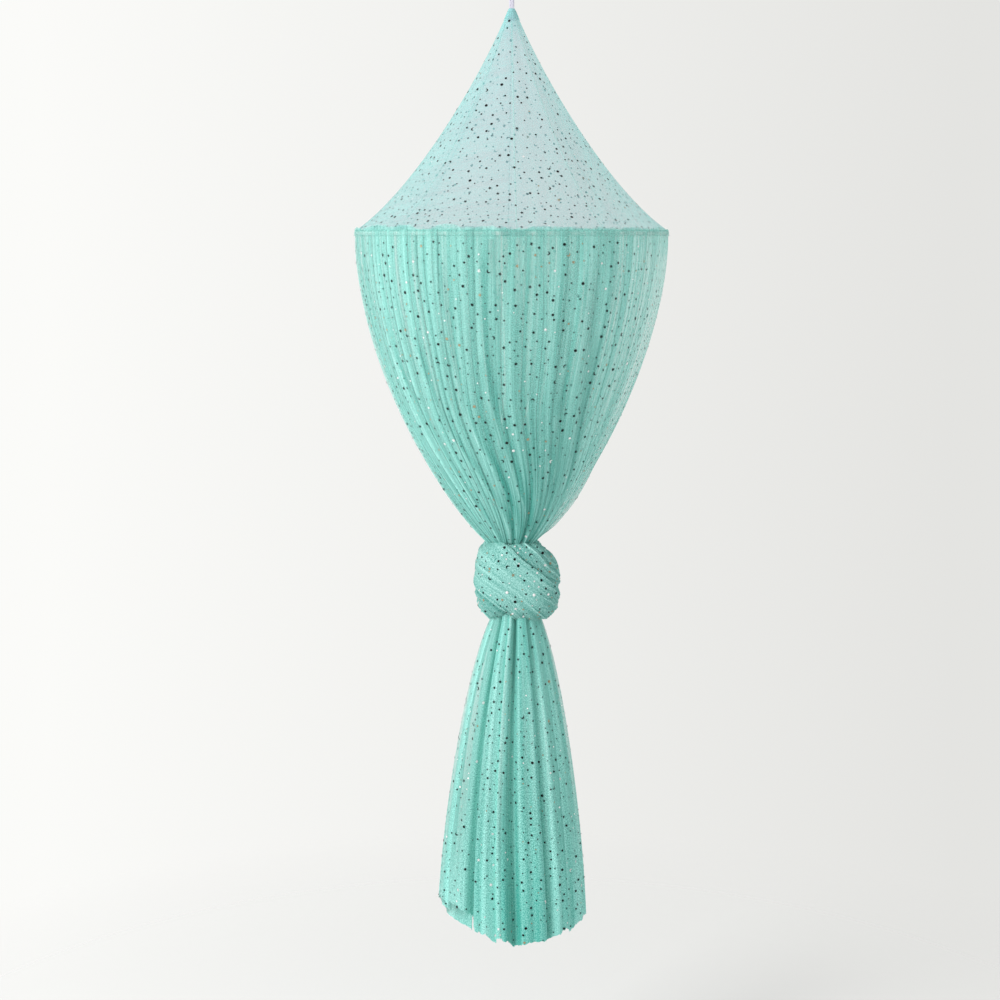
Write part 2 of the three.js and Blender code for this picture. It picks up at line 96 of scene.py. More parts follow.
def ease(value, start, end):
    """0 up to start, 1 from end on, and a smooth rise between them."""
    return smoothed(np.clip((np.asarray(value, float) - start) / (end - start), 0.0, 1.0))


def around(angle, centre):
    """The way round from centre to angle in degrees, between -180 and 180."""
    return (np.asarray(angle, float) - centre + 180.0) % 360.0 - 180.0


def swell(angle, centre, half):
    """1 in the middle and 0 from half a width on, on a circle in degrees."""
    return 1.0 - ease(np.abs(around(angle, centre)), 0.35 * half, half)


def on_circle(angle, places):
    """The number of the last place before each angle, and its share of the way to the next place."""
    places = np.append(np.array(places, float), places[0] + 360.0)
    turned = (np.asarray(angle, float) - places[0]) % 360.0 + places[0]
    number = np.clip(np.searchsorted(places, turned, side="right") - 1, 0, len(places) - 2)
    return number, (turned - places[number]) / (places[number + 1] - places[number])


def by_angle(angle, table):
    """Reads a table of (degrees, value) round the circle, eased from one entry to the next."""
    places, values = zip(*table)
    number, share = on_circle(angle, places)
    values = np.array([*values, values[0]], float)
    return mix(values[number], values[number + 1], smoothed(share))


def round_waves(radians, seed, lowest, highest):
    """Uneven waves round the axis, mostly between -1 and 1, that meet where they close."""
    rng = np.random.default_rng(seed)
    total = np.zeros_like(np.asarray(radians, float))
    for number in range(lowest, highest + 1):
        total = total + rng.normal() * np.sin(number * radians + rng.uniform(0, WHOLE_TURN))
    return total / math.sqrt(2.0 * (highest - lowest + 1))


def waves(along, seed, slowest, fastest, count=6):
    """Uneven waves along a length, mostly between -1 and 1."""
    rng = np.random.default_rng(seed)
    total = np.zeros_like(np.asarray(along, float))
    for _ in range(count):
        total = total + np.sin(along * rng.uniform(slowest, fastest) + rng.uniform(0, WHOLE_TURN))
    return total / math.sqrt(2.0 * count) * 1.4


def full_turn(count):
    """Angles evenly all the way round."""
    return np.linspace(0, WHOLE_TURN, count, endpoint=False)


def arc(centre, radius, start, end, count):
    """Points on a circle, from one angle to another in degrees."""
    turns = np.radians(np.linspace(start, end, count))
    return np.stack([centre[0] + radius * np.cos(turns), centre[1] + radius * np.sin(turns)], axis=-1)


def distances(line):
    """How far along a line of points each of them lies."""
    return np.concatenate([[0], np.cumsum(np.linalg.norm(np.diff(line, axis=0), axis=1))])


def unit(rows):
    """Each row, made 1 long."""
    return rows / np.linalg.norm(rows, axis=1, keepdims=True)


def pairs(first, second):
    """One grid of places on the flat net, from how far across and how far along they are."""
    return np.stack(np.broadcast_arrays(first, second), axis=-1)


def quadratic(points, share):
    (a, b, c) = (np.array(p, float) for p in points)
    s = np.asarray(share, float)[..., None]
    return (1 - s) ** 2 * a + 2 * s * (1 - s) * b + s**2 * c


def cubic(points, share):
    (a, b, c, d) = (np.array(p, float) for p in points)
    s = np.asarray(share, float)[..., None]
    return (1 - s) ** 3 * a + 3 * s * (1 - s) ** 2 * b + 3 * s**2 * (1 - s) * c + s**3 * d


def polar(radius, radians, height):
    """Points round the canopy's axis, with the angle from the front towards +X."""
    radius, radians, height = np.broadcast_arrays(radius, radians, height)
    return np.stack([radius * np.sin(radians), -radius * np.cos(radians), height], axis=-1)


# ---------------------------------------------------------------- meshes


def grid_mesh(name, points, cloth=None, looped=False, capped=False, **values):
    """Skins rows of points. cloth is each corner's place on the flat net, and values are kept at the
    points."""
    rows, columns = points.shape[:2]
    index = np.arange(rows * columns).reshape(rows, columns)
    here, beyond = (index, np.roll(index, -1, axis=1)) if looped else (index[:, :-1], index[:, 1:])
    quads = np.stack([here[:-1], beyond[:-1], beyond[1:], here[1:]], axis=-1).reshape(-1, 4)
    faces = quads.tolist()
    if capped:
        faces += [index[0, ::-1].tolist(), index[-1].tolist()]
    mesh = bpy.data.meshes.new(name)
    mesh.from_pydata(points.reshape(-1, 3).tolist(), [], faces)
    if cloth is not None:
        corners = np.stack([cloth[:-1, :-1], cloth[:-1, 1:], cloth[1:, 1:], cloth[1:, :-1]], axis=2)
        places = np.zeros(2 * len(mesh.loops), np.float32)
        places[: corners.size] = corners.reshape(-1)
        mesh.uv_layers.new(name="Cloth").data.foreach_set("uv", places)
    for key, value in values.items():
        held = mesh.attributes.new(key, "FLOAT", "POINT")
        spread = np.broadcast_to(value, (rows, columns)).reshape(-1)
        held.data.foreach_set("value", spread.astype(np.float32))
    return shown(name, mesh)


def shown(name, mesh, smooth=True):
    mesh.validate()
    mesh.polygons.foreach_set("use_smooth", [smooth] * len(mesh.polygons))
    mesh.update()
    piece = bpy.data.objects.new(name, mesh)
    bpy.context.scene.collection.objects.link(piece)
    return piece


def faces_piece(name, points, faces, kinds=None, smooth=True):
    mesh = bpy.data.meshes.new(name)
    mesh.from_pydata(np.asarray(points).tolist(), [], faces)
    if kinds is not None:
        mesh.polygons.foreach_set("material_index", kinds)
    return shown(name, mesh, smooth)


def turned_piece(name, profile, steps=96, middle_x=0.0):
    """A piece turned on a lathe, from its profile of (radius, height), both ends on the axis."""
    profile = np.array(profile, float)
    points = polar(profile[:, :1], full_turn(steps)[None, :], profile[:, 1:])
    points[..., 0] += middle_x
    return grid_mesh(name, points, looped=True, capped=True)


def tube(name, path, radius, sides=24, closed=False):
    """A round bar along a path, whose rings are carried along it without twist."""
    path = np.array(path, float)
    ahead = np.roll(path, -1, axis=0) - np.roll(path, 1, axis=0)
    if not closed:
        ahead[0], ahead[-1] = path[1] - path[0], path[-1] - path[-2]
    ahead = unit(ahead)
    side = np.cross(ahead[0], (0.36, 0.93, 0.08))
    turns = full_turn(sides)
    rings = []
    for point, forward, reach in zip(path, ahead, np.broadcast_to(radius, (len(path),))):
        side = side - forward * np.dot(side, forward)
        side /= np.linalg.norm(side)
        other = np.cross(forward, side)
        rings.append(point + reach * (np.outer(np.cos(turns), side) + np.outer(np.sin(turns), other)))
    if closed:
        rings.append(rings[0])
    return grid_mesh(name, np.array(rings), looped=True, capped=not closed)


def carved(piece, *cutters):
    """Cuts each cutter out of the piece, applies the cuts and removes the cutters."""
    for cutter in cutters:
        cut = piece.modifiers.new("Cut", "BOOLEAN")
        cut.operation, cut.solver, cut.object = "DIFFERENCE", "EXACT", cutter
    graph = bpy.context.evaluated_depsgraph_get()
    mesh = bpy.data.meshes.new_from_object(piece.evaluated_get(graph))
    piece.modifiers.clear()
    piece.data = mesh
    for cutter in cutters:
        bpy.data.objects.remove(cutter)


def softened(piece, width):
    """Rounds the piece's edges, where two faces meet at more than 35 degrees."""
    edge = piece.modifiers.new("Softened edges", "BEVEL")
    edge.width, edge.segments = width, 2
    edge.limit_method, edge.angle_limit = "ANGLE", math.radians(35)
    edge.harden_normals = True


def stitches(name, path, out, length, gap, thickness, closed=True):
    """Short raised stitches along a path. out is the direction that each point of the path faces."""
    path, out = np.array(path, float), np.array(out, float)
    if closed:
        path, out = np.concatenate([path, path[:1]]), np.concatenate([out, out[:1]])
    reach = distances(path)
    count = max(1, int(reach[-1] / (length + gap)))
    middles = (np.arange(count) + 0.5) * reach[-1] / count

    def at(values, place):
        return np.stack([np.interp(place, reach, values[:, k]) for k in range(3)], axis=-1)

    start, middle, end = (at(path, middles + step) for step in (-length / 2, 0, length / 2))
    up = unit(at(out, middles))
    side = np.cross(up, end - start)
    side *= thickness / 2 / np.maximum(np.linalg.norm(side, axis=1, keepdims=True), 1e-9)
    rise = up * thickness / 2
    corners = np.stack([start, middle + side, middle + rise, middle - side, middle - rise, end], axis=1)
    shape = [(0, 2, 1), (0, 3, 2), (0, 4, 3), (0, 1, 4), (5, 1, 2), (5, 2, 3), (5, 3, 4), (5, 4, 1)]
    faces = [tuple(6 * k + v for v in face) for k in range(count) for face in shape]
    return faces_piece(name, corners.reshape(-1, 3), faces)


def dress(piece, materials, body=CANOPY, stands_for=()):
    """Gives a piece its materials, its body and the nodes that it stands for."""
    for made in materials if isinstance(materials, list) else [materials]:
        piece.data.materials.append(made)
    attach(piece, body)
    if stands_for:
        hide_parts(*stands_for)
    return piece


# ---------------------------------------------------------------- shader nodes


def fill(tree, node, values):
    """Fills a node's sockets with numbers, colours or links."""
    for key, value in values.items():
        if isinstance(value, bpy.types.NodeSocket):
            tree.links.new(value, node.inputs[key])
        else:
            node.inputs[key].default_value = value


def add(tree, kind, values=None, **settings):
    """Adds a node, sets its options and fills its sockets."""
    made = tree.nodes.new(kind)
    for key, value in settings.items():
        setattr(made, key, value)
    fill(tree, made, values or {})
    return made


def maths(tree, operation, first, second=0.5, clamp=False):
    made = add(tree, "ShaderNodeMath", {0: first, 1: second}, operation=operation, use_clamp=clamp)
    return made.outputs[0]


def times(tree, first, second):
    return maths(tree, "MULTIPLY", first, second)


def plus(tree, first, second):
    return maths(tree, "ADD", first, second)


def remap(tree, value, low, high, to_low=0.0, to_high=1.0):
    sockets = {"Value": value, "From Min": low, "From Max": high, "To Min": to_low, "To Max": to_high}
    return add(tree, "ShaderNodeMapRange", sockets, clamp=True).outputs[0]


def between(tree, share, low, high):
    return remap(tree, share, 0.0, 1.0, low, high)


def blend_colour(tree, share, first, second):
    return add(tree, "ShaderNodeMix", {0: share, 6: first, 7: second}, data_type="RGBA").outputs[2]


def noise(tree, place, scale, detail, roughness, distortion=0.0, dimensions="2D"):
    """Cloudy noise, from 0 to 1."""
    values = {"Vector": place, "Scale": scale, "Detail": detail, "Roughness": roughness}
    values["Distortion"] = distortion
    return add(tree, "ShaderNodeTexNoise", values, noise_dimensions=dimensions).outputs["Fac"]


def bump(tree, height, strength, distance):
    values = {"Strength": strength, "Distance": distance, "Height": height}
    return add(tree, "ShaderNodeBump", values).outputs[0]


def opaque(colour):
    return (*colour[:3], 1.0)


def dimmed(tree, mask, colour, dim):
    """The colour, and a darker one where the mask is low."""
    return blend_colour(tree, mask, opaque([dim * c for c in colour[:3]]), opaque(colour))


# ---------------------------------------------------------------- effects that materials share


def net_grain(tree, vector, cells, clouding):
    """Fine holes between the net's threads, and the uneven way that the threads lie."""
    values = {"Vector": vector, "Scale": cells, "Randomness": 0.8}
    kind = {"feature": "DISTANCE_TO_EDGE", "voronoi_dimensions": "2D"}
    holes = add(tree, "ShaderNodeTexVoronoi", values, **kind).outputs["Distance"]
    threads = remap(tree, holes, 0.05, 0.35, 1.0, 0.0)
    uneven = remap(tree, noise(tree, vector, clouding, 2.0, 0.8), 0.32, 0.68)
    return plus(tree, times(tree, threads, 0.35), times(tree, uneven, 0.65)), threads


def fold_streaks(tree, vector, fineness, reach):
    """Long soft streaks that run with the net, where it lies in creases finer than the modelled folds."""
    split = add(tree, "ShaderNodeSeparateXYZ", {"Vector": vector}).outputs
    stretched = {"X": times(tree, split["X"], fineness), "Y": times(tree, split["Y"], reach)}
    place = add(tree, "ShaderNodeCombineXYZ", stretched).outputs[0]
    return (remap(tree, noise(tree, place, 1.0, 3.0, 0.6, distortion=0.1), 0.32, 0.68),)


def handled_finish(tree, vector, size):
    """Light rubbing and dust, and fine scratches, that break up an even finish."""
    clouds = noise(tree, vector, size, 5.0, 0.6, dimensions="3D")
    stretched = add(tree, "ShaderNodeMapping", {"Vector": vector, "Scale": (3.0, 3.0, 40.0)}).outputs[0]
    lines = noise(tree, stretched, size, 6.0, 0.75, dimensions="3D")
    return remap(tree, clouds, 0.35, 0.7), remap(tree, lines, 0.45, 0.65)


def woven_tape(tree, vector, threads):
    """Crossing warp and weft threads of a flat tape."""
    split = add(tree, "ShaderNodeSeparateXYZ", {"Vector": vector}).outputs
    across, along = (maths(tree, "SINE", times(tree, split[key], threads)) for key in ("X", "Y"))
    crossed = remap(tree, times(tree, across, along), -1.0, 1.0)
    fuzz = remap(tree, noise(tree, vector, 900.0, 3.0, 0.7), 0.3, 0.7)
    return plus(tree, times(tree, crossed, 0.7), times(tree, fuzz, 0.3)), crossed


# Each shared group: the function that fills it, its inputs with their defaults, and its outputs.
SHADER_GROUPS = {
    "Net grain": (net_grain, {"Vector": None, "Cells": 380.0, "Clouding": 400.0}, ("Mask", "Height")),
    "Fold streaks": (fold_streaks, {"Vector": None, "Fineness": 90.0, "Reach": 1.4}, ("Mask",)),
    "Handled finish": (handled_finish, {"Vector": None, "Size": 60.0}, ("Mask", "Scratches")),
    "Woven tape": (woven_tape, {"Vector": None, "Threads": 700.0}, ("Mask", "Height")),
}


def shared(tree, name, values):
    """Adds one of the shared groups, which is made the first time, and gives its outputs."""
    if name not in bpy.data.node_groups:
        build, inputs, outputs = SHADER_GROUPS[name]
        group = bpy.data.node_groups.new(name, "ShaderNodeTree")
        for key, default in inputs.items():
            kind = "NodeSocketVector" if default is None else "NodeSocketFloat"
            socket = group.interface.new_socket(name=key, in_out="INPUT", socket_type=kind)
            if default is not None:
                socket.default_value = default
        for key in outputs:
            group.interface.new_socket(name=key, in_out="OUTPUT", socket_type="NodeSocketFloat")
        given = add(group, "NodeGroupInput").outputs[: len(inputs)]
        add(group, "NodeGroupOutput", dict(zip(outputs, build(group, *given))))
    return add(tree, "ShaderNodeGroup", values, node_tree=bpy.data.node_groups[name]).outputs


# ---------------------------------------------------------------- materials


def material(name, finish, *values, **looks):
    """The material of that name. The first time, finish says what its shader's sockets get."""
    if name not in bpy.data.materials:
        made = bpy.data.materials.new(name)
        made.use_nodes = True
        tree = made.node_tree
        tree.nodes.clear()
        shader = add(tree, "ShaderNodeBsdfPrincipled")
        fill(tree, shader, finish(tree, *values, **looks))
        add(tree, "ShaderNodeOutputMaterial", {0: shader.outputs[0]})
    return bpy.data.materials[name]


def sheer_net(tree, light, shade, cover, streak, grain, flecks, fineness=90.0, relief=0.25):
    """Net that lets light through. cover is the share that one layer stops. At the points, netting scales
    it, and ridge goes from the shaded colour to the light one: painted shade down in the folds
    and painted highlights on their edges; on the crown it is a tint by angle, and on the seams darker
    stitches."""
    cloth = add(tree, "ShaderNodeUVMap", uv_map="Cloth").outputs[0]
    grains = shared(tree, "Net grain", {"Vector": cloth})
    streaks = shared(tree, "Fold streaks", {"Vector": cloth, "Fineness": fineness})
    netting = add(tree, "ShaderNodeAttribute", attribute_name="netting").outputs["Fac"]
    ridge = add(tree, "ShaderNodeAttribute", attribute_name="ridge").outputs["Fac"]
    stopped = times(tree, netting, cover)
    for mask, reach in ((streaks["Mask"], streak), (grains["Mask"], grain)):
        stopped = times(tree, stopped, between(tree, mask, 1.0 - reach, 1.0 + reach))
    # Painted light and shade: the point attribute, and the streaks of the finer creases, lighten and darken
    # the net's colour.
    lit = plus(tree, times(tree, ridge, 0.7), times(tree, streaks["Mask"], 0.3))
    speck = times(tree, maths(tree, "SUBTRACT", grains["Mask"], 0.5), 2.0 * flecks)
    lit = maths(tree, "MAXIMUM", plus(tree, lit, speck), 0.0, clamp=True)
    height = plus(tree, streaks["Mask"], times(tree, grains["Height"], 0.15))
    return {
        "Base Color": blend_colour(tree, lit, opaque(shade), opaque(light)),
        "Alpha": maths(tree, "MINIMUM", stopped, 1.0, clamp=True),
        "Normal": bump(tree, height, relief, 0.0012),
        "Roughness": 0.82,
        "Specular IOR Level": 0.25,
        "Sheen Weight": 0.3,
        "Sheen Roughness": 0.45,
        "Sheen Tint": opaque(light),
    }


def rubbed(tree, size):
    """The handled finish over a whole piece."""
    place = add(tree, "ShaderNodeTexCoord").outputs["Object"]
    return shared(tree, "Handled finish", {"Vector": place, "Size": size})


def foil_finish(tree, colour, metallic, roughness, shine=0.5):
    handled = rubbed(tree, 240.0)
    return {
        "Base Color": dimmed(tree, handled["Mask"], colour, 0.6),
        "Roughness": between(tree, handled["Mask"], roughness, roughness + 0.15),
        "Metallic": metallic,
        "Specular IOR Level": shine,
    }


def hard_finish(tree, colour, metallic=0.0, roughness=0.4, wear=0.12, size=60.0):
    """Painted, plated or moulded finishes, with light rubbing."""
    handled = rubbed(tree, size)
    return {
        "Base Color": dimmed(tree, handled["Mask"], colour, 1.0 - wear),
        "Roughness": between(tree, handled["Scratches"], roughness, roughness + wear),
        "Normal": bump(tree, handled["Scratches"], 0.05, 0.0004),
        "Metallic": metallic,
    }


def webbing_finish(tree, colour):
    cloth = add(tree, "ShaderNodeUVMap", uv_map="Cloth").outputs[0]
    woven = shared(tree, "Woven tape", {"Vector": cloth, "Threads": 5200.0})
    return {
        "Base Color": dimmed(tree, woven["Mask"], colour, 0.72),
        "Roughness": between(tree, woven["Mask"], 0.62, 0.78),
        "Normal": bump(tree, woven["Height"], 0.5, 0.0004),
        "Sheen Weight": 0.2,
    }


def floor_finish(tree):
    """A matt floor that fades out towards its rim."""
    place = add(tree, "ShaderNodeTexCoord").outputs["Object"]
    flat = add(tree, "ShaderNodeVectorMath", {0: place, 1: (1.0, 1.0, 0.0)}, operation="MULTIPLY")
    far = add(tree, "ShaderNodeVectorMath", {0: flat.outputs[0]}, operation="LENGTH").outputs["Value"]
    return {
        "Base Color": (0.80, 0.80, 0.785, 1.0),
        "Roughness": 0.9,
        "Alpha": remap(tree, far, 0.5, 1.9, 1.0, 0.0),
    }


# ---------------------------------------------------------------- sizes and colours that a user changes


def length_property(name, description, default):
    return bpy.props.FloatProperty(
        name=name,
        description=description,
        default=default,
        min=0.0,
        soft_max=3.0,
        subtype="DISTANCE",
        unit="LENGTH",
    )


def share_property(name, description, default):
    return bpy.props.FloatProperty(name=name, description=description, default=default, min=0.0, max=1.0)


def angle_property(name, description, degrees):
    return bpy.props.FloatProperty(
        name=name, description=description, default=math.radians(degrees), subtype="ANGLE", unit="ROTATION"
    )


def count_property(name, description, default):
    return bpy.props.IntProperty(name=name, description=description, default=default, min=1)


def colour_property(name, description, default):
    return bpy.props.FloatVectorProperty(
        name=name, description=description, default=default, size=3, min=0.0, max=1.0, subtype="COLOR"
    )


class CanopyColours(bpy.types.PropertyGroup):
    """Colours of the canopy's net, foil, tape and metal."""

    crown_light: colour_property("Crown net", "Net of the crown's outer gores", (0.31, 0.72, 0.70))
    crown_shade: colour_property("Crown net in shade", "Net of the crown's front gores", (0.30, 0.40, 0.46))
    # net_light and net_shade, and knot_light and knot_shade, are lit and shaded copies of one net, mixed by
    # ridge: painted shade in the folds, painted light on their edges. The knot's pair is darker and greyer,
    # painted shade on its broad faces, which turn to the lights.
    net_light: colour_property("Net", "Gathered net on the folds' edges", (0.49, 0.93, 0.86))
    knot_light: colour_property("Knot", "Knotted net on the folds' edges", (0.45, 0.79, 0.73))
    knot_shade: colour_property("Knot, deep", "Knotted net down in the folds", (0.045, 0.25, 0.21))
    net_shade: colour_property("Net in the folds", "Gathered net in the valleys", (0.032, 0.33, 0.268))
    # Silver foil is painted as its reflections: dark where it mirrors dark surroundings, pale where it
    # catches the light.
    foil_painted_dark_reflection: colour_property("Dark foil", "Most of the foil dots", (0.005, 0.006, 0.007))
    foil_gold: colour_property("Gold foil", "Foil dots of a warm colour", (0.42, 0.33, 0.20))
    foil_painted_glint: colour_property("Pale foil", "Foil dots that catch the light", (0.92, 0.93, 0.92))
    webbing: colour_property("Webbing", "Hanging strap", (0.66, 0.64, 0.74))
    thread: colour_property("Thread", "Sewing thread", (0.13, 0.45, 0.38))
    paint: colour_property("Paint", "Ceiling plate", (0.86, 0.85, 0.82))
    steel: colour_property("Steel", "Hook, ring and screws", (0.62, 0.63, 0.64))
    rod: colour_property("Rod", "Hoop rods inside the channel", (0.78, 0.78, 0.76))


class CrownSizes(bpy.types.PropertyGroup):
    """Sizes of the sheer cone, its seams and its bound top."""

    top_radius: length_property("Top radius", "Radius of the net at the strap", 0.0052)
    top_rise: length_property("Top rise", "How far the net goes up inside the binding", 0.0055)
    waist: share_property("Waist", "Width of the upper cone, as a share of the hoop's radius", 0.20)
    flare: share_property("Flare", "Width of the lower cone, as a share of the hoop's radius", 0.63)
    sag: share_property("Slack", "How far the net hangs in between two seams", 0.025)
    cover: share_property("Cover", "Light that one layer of the crown's net stops", 0.34)
    tape_width: length_property("Seam width", "Width of a folded seam", 0.0026)
    tape_lift: length_property("Seam lift", "Height of a seam above the net", 0.0006)
    columns: count_property("Columns", "Columns of faces round the cone", 360)
    rows: count_property("Rows", "Rows of faces from the top to the hoop", 96)


class SkirtSizes(bpy.types.PropertyGroup):
    """Sizes of the gathered skirt, its channel and its frill."""

    height: length_property("Height", "From the hoop down to the knot", 0.597)
    neck_radius: length_property("Neck radius", "Radius of the gathered net above the knot", 0.049)
    tuck_radius: length_property("Tuck radius", "Radius of the net where it goes into the knot", 0.043)
    tuck: length_property("Tuck", "How far the net goes down into the knot", 0.018)
    folds: count_property("Folds", "Folds in each of the four panels", 30)
    fold_steps: count_property("Fold steps", "Columns of faces in each fold", 14)
    rows: count_property("Rows", "Rows of faces from the hoop to the neck", 96)
    fold_depth: length_property("Fold depth", "Depth of the deepest folds", 0.009)
    twist: angle_property("Twist", "How far the folds turn as they reach the knot", 16.0)
    cover: share_property("Cover", "Light that one layer of the gathered net stops", 0.33)
    frill_height: length_property("Frill height", "Height of the frill above the channel", 0.0120)


class KnotSizes(bpy.types.PropertyGroup):
    """Sizes of the big knot."""

    width: length_property("Width", "Width of the knot", 0.168)
    depth: length_property("Depth", "Depth of the knot, front to back", 0.150)
    height: length_property("Height", "Height of the knot", 0.158)
    shift: length_property("Shift", "How far the knot sits to the right", 0.0105)
    tilt: angle_property("Tilt", "How far the wound band leans", 37.0)
    boxy: bpy.props.FloatProperty(
        name="Fullness",
        description="2 is a plain ellipsoid, and more is fuller",
        default=2.5,
        min=2.0,
        max=6.0,
    )
    band_lift: length_property("Band lift", "Height of the wound band over the net below it", 0.0060)
    columns: count_property("Columns", "Columns of faces round the knot", 460)


class TailSizes(bpy.types.PropertyGroup):
    """Sizes of the net that hangs below the knot."""

    length: length_property("Length", "From the knot to the middle of the hem", 0.590)
    top_radius: length_property("Top radius", "Radius under the knot", 0.055)
    hem_radius: length_property("Hem radius", "Radius at the hem", 0.147)
    tuck: length_property("Tuck", "How far the net goes up into the knot", 0.032)
    top_shift: length_property("Top shift", "How far the top sits to the right", 0.009)
    hem_shift: length_property("Hem shift", "How far the hem sits to the right", 0.003)
    cover: share_property("Cover", "Light that one layer of the tail stops", 0.50)
    fold_steps: count_property("Fold steps", "Columns of faces from one valley to the next", 44)
    rows: count_property("Rows", "Rows of faces from the knot to the hem", 110)


class StageSizes(bpy.types.PropertyGroup):
    """The studio round the canopy."""

    floor_drop: length_property("Floor drop", "From the ceiling down to the floor", 2.45)
    # The background is painted light: lighter on the left, towards the key light, and darker on the right.
    wall_left: colour_property("Background, left", "Background on the left", (0.965, 0.965, 0.945))
    wall_right: colour_property("Background, right", "Background on the right", (0.775, 0.775, 0.755))
    key: bpy.props.FloatProperty(
        name="Key light", description="Power of the key light in watts", default=95.0, min=0.0
    )
    fill: bpy.props.FloatProperty(
        name="Fill light", description="Strength of the even light from all round", default=0.85, min=0.0
    )


# ---------------------------------------------------------------- materials of the canopy


def net_material(scene, name, kind, cover, **looks):
    """Net in the light and the shaded colour of its kind."""
    light, shade = (getattr(scene.canopy_colours, f"{kind}_{word}") for word in ("light", "shade"))
    return material(name, sheer_net, light, shade, cover, **looks)


def crown_net(scene):
    looks = {"streak": 0.05, "grain": 0.4, "flecks": 0.25, "fineness": 30.0}
    return net_material(scene, "Crown net", "crown", scene.canopy_crown.cover, **looks)


def skirt_net(scene):
    looks = {"streak": 0.10, "grain": 0.30, "flecks": 0.16, "fineness": 110.0}
    return net_material(scene, "Gathered net", "net", scene.canopy_skirt.cover, **looks)


def bound_net(scene):
    looks = {"streak": 0.1, "grain": 0.5, "flecks": 0.4, "relief": 0.5}
    return net_material(scene, "Bound net", "net", 1.0, **looks)


def knot_net(scene):
    looks = {"streak": 0.0, "grain": 0.0, "flecks": 0.5, "fineness": 110.0, "relief": 0.5}
    return net_material(scene, "Knotted net", "knot", 0.985, **looks)


def tail_net(scene):
    looks = {"streak": 0.07, "grain": 0.36, "flecks": 0.30, "fineness": 60.0}
    return net_material(scene, "Hanging net", "net", scene.canopy_tail.cover, **looks)


def thread(scene):
    return material("Thread", hard_finish, scene.canopy_colours.thread, roughness=0.7, size=400.0)


def steel(scene, name, roughness, size):
    return material(name, hard_finish, scene.canopy_colours.steel, 1.0, roughness, size=size)


# ---------------------------------------------------------------- ceiling fixture, ring and strap


def screw_profile(extra=0.0, overrun=0.0):
    """Half a countersunk screw's section, from its head up to its tip, measured from the head."""
    head = (SCREW_HIGH.x - SCREW_LOW.x) / 2 + extra
    length = SCREW_HIGH.z - SCREW_LOW.z
    shank, rise, tip = 0.002 + extra, 0.0024, 0.005
    profile = [(0.0, -overrun), (head, -overrun), (head, extra), (shank, rise + extra)]
    if extra == 0.0:
        turn, groove = 0.0012, 0.00045
        for number in range(int((length - tip - rise) / turn)):
            low = rise + number * turn
            profile += [(shank, low + 0.2 * turn), (shank - groove, low + 0.6 * turn), (shank, low + turn)]
    return profile + [(shank, length - tip), (0.0, length)]


def plate_piece(scene):
    radius, face, boss = PLATE_HIGH.x, PLATE_HIGH.z, PLATE_LOW.z
    thickness, corner, boss_radius = 0.004, 0.0015, 0.008
    bore, bore_end = 0.0032, -0.003
    edge = arc((radius - corner, corner - thickness), corner, 0, -90, 7)
    fillet = arc((boss_radius + corner, -thickness - corner), corner, 90, 180, 6)
    lip = arc((boss_radius - corner, boss + corner), corner, 0, -90, 6)
    hole = [(bore, boss), (bore, bore_end), (0.0, bore_end)]
    plate = turned_piece("ceiling_plate_turned", [(0.0, face), (radius, face), *edge, *fillet, *lip, *hole])
    holes, clearance, overrun = [], 0.0003, 0.001
    for side in (-1, 1):
        profile = [(r, z + SCREW_LOW.z) for r, z in screw_profile(clearance, overrun)]
        holes.append(turned_piece(f"hole_{side}", profile, 48, side * SCREW_X))
    carved(plate, *holes)
    softened(plate, 0.0003)
    paint = material("Plate paint", hard_finish, scene.canopy_colours.paint, roughness=0.38, wear=0.08)
    dress(plate, paint, FIXTURE, ["ceiling_plate"])


def bar_piece(name, middle, sizes, turn):
    """A plain bar, turned about its upright axis."""
    x, y, z = np.array(sizes) / 2
    flat = [(-x, -y), (x, -y), (x, y), (-x, y)]
    turned = np.array(flat) @ [[math.cos(turn), math.sin(turn)], [-math.sin(turn), math.cos(turn)]]
    corners = [(*place, height) for height in (-z, z) for place in turned]
    faces = [(3, 2, 1, 0), (4, 5, 6, 7), (0, 1, 5, 4), (1, 2, 6, 5), (2, 3, 7, 6), (3, 0, 4, 7)]
    return faces_piece(name, np.array(corners) + middle, faces)


def screw_piece(scene, side):
    """A turned screw with a cross cut in its head."""
    middle, cross = side * SCREW_X, (0.0042, 0.0009, 0.0026)
    profile = [(r, z + SCREW_LOW.z) for r, z in screw_profile()]
    word = "right" if side > 0 else "left"
    screw = turned_piece(f"plate_screw_{word}_turned", profile, 48, middle)
    turns = (math.radians(22 + 90 * number + 31 * side) for number in range(2))
    bars = [bar_piece(f"bar_{word}", (middle, 0.0, SCREW_LOW.z), cross, turn) for turn in turns]
    carved(screw, *bars)
    finish = steel(scene, "Screw steel", 0.32, size=220.0)
    dress(screw, finish, FIXTURE, [f"plate_screw_{word}"])


def hook_piece(scene):
    bowl, neck, tip, flare = 0.012, 0.006, 0.008, 0.003
    boss = PLATE_LOW.z
    centre = boss - 0.036
    stem = [(0.0, z) for z in np.linspace(HOOK_HIGH.z, boss - neck, 8)]
    points = [(0.0, boss - neck), (0.0, centre + bowl), (bowl, centre + bowl), (bowl, centre)]
    bend = cubic(points, np.linspace(0, 1, 24)[1:])
    turn = arc((0.0, centre), bowl, 0, -180, 48)[1:]
    points = [(-bowl, centre), (-bowl, centre + tip / 2), (-bowl - flare, centre + tip)]
    lip = quadratic(points, np.linspace(0, 1, 10)[1:])
    outline = np.concatenate([stem, bend, turn, lip])
    path = np.stack([np.zeros(len(outline)), outline[:, 0], outline[:, 1]], axis=-1)
    radii = np.full(len(path), HOOK_HIGH.x)
    radii[-4:] *= (1.0, 0.96, 0.82, 0.5)
    hook = tube("ceiling_hook_bent", path, radii)
    dress(hook, steel(scene, "Hook steel", 0.26, size=90.0), FIXTURE, ["ceiling_hook"])


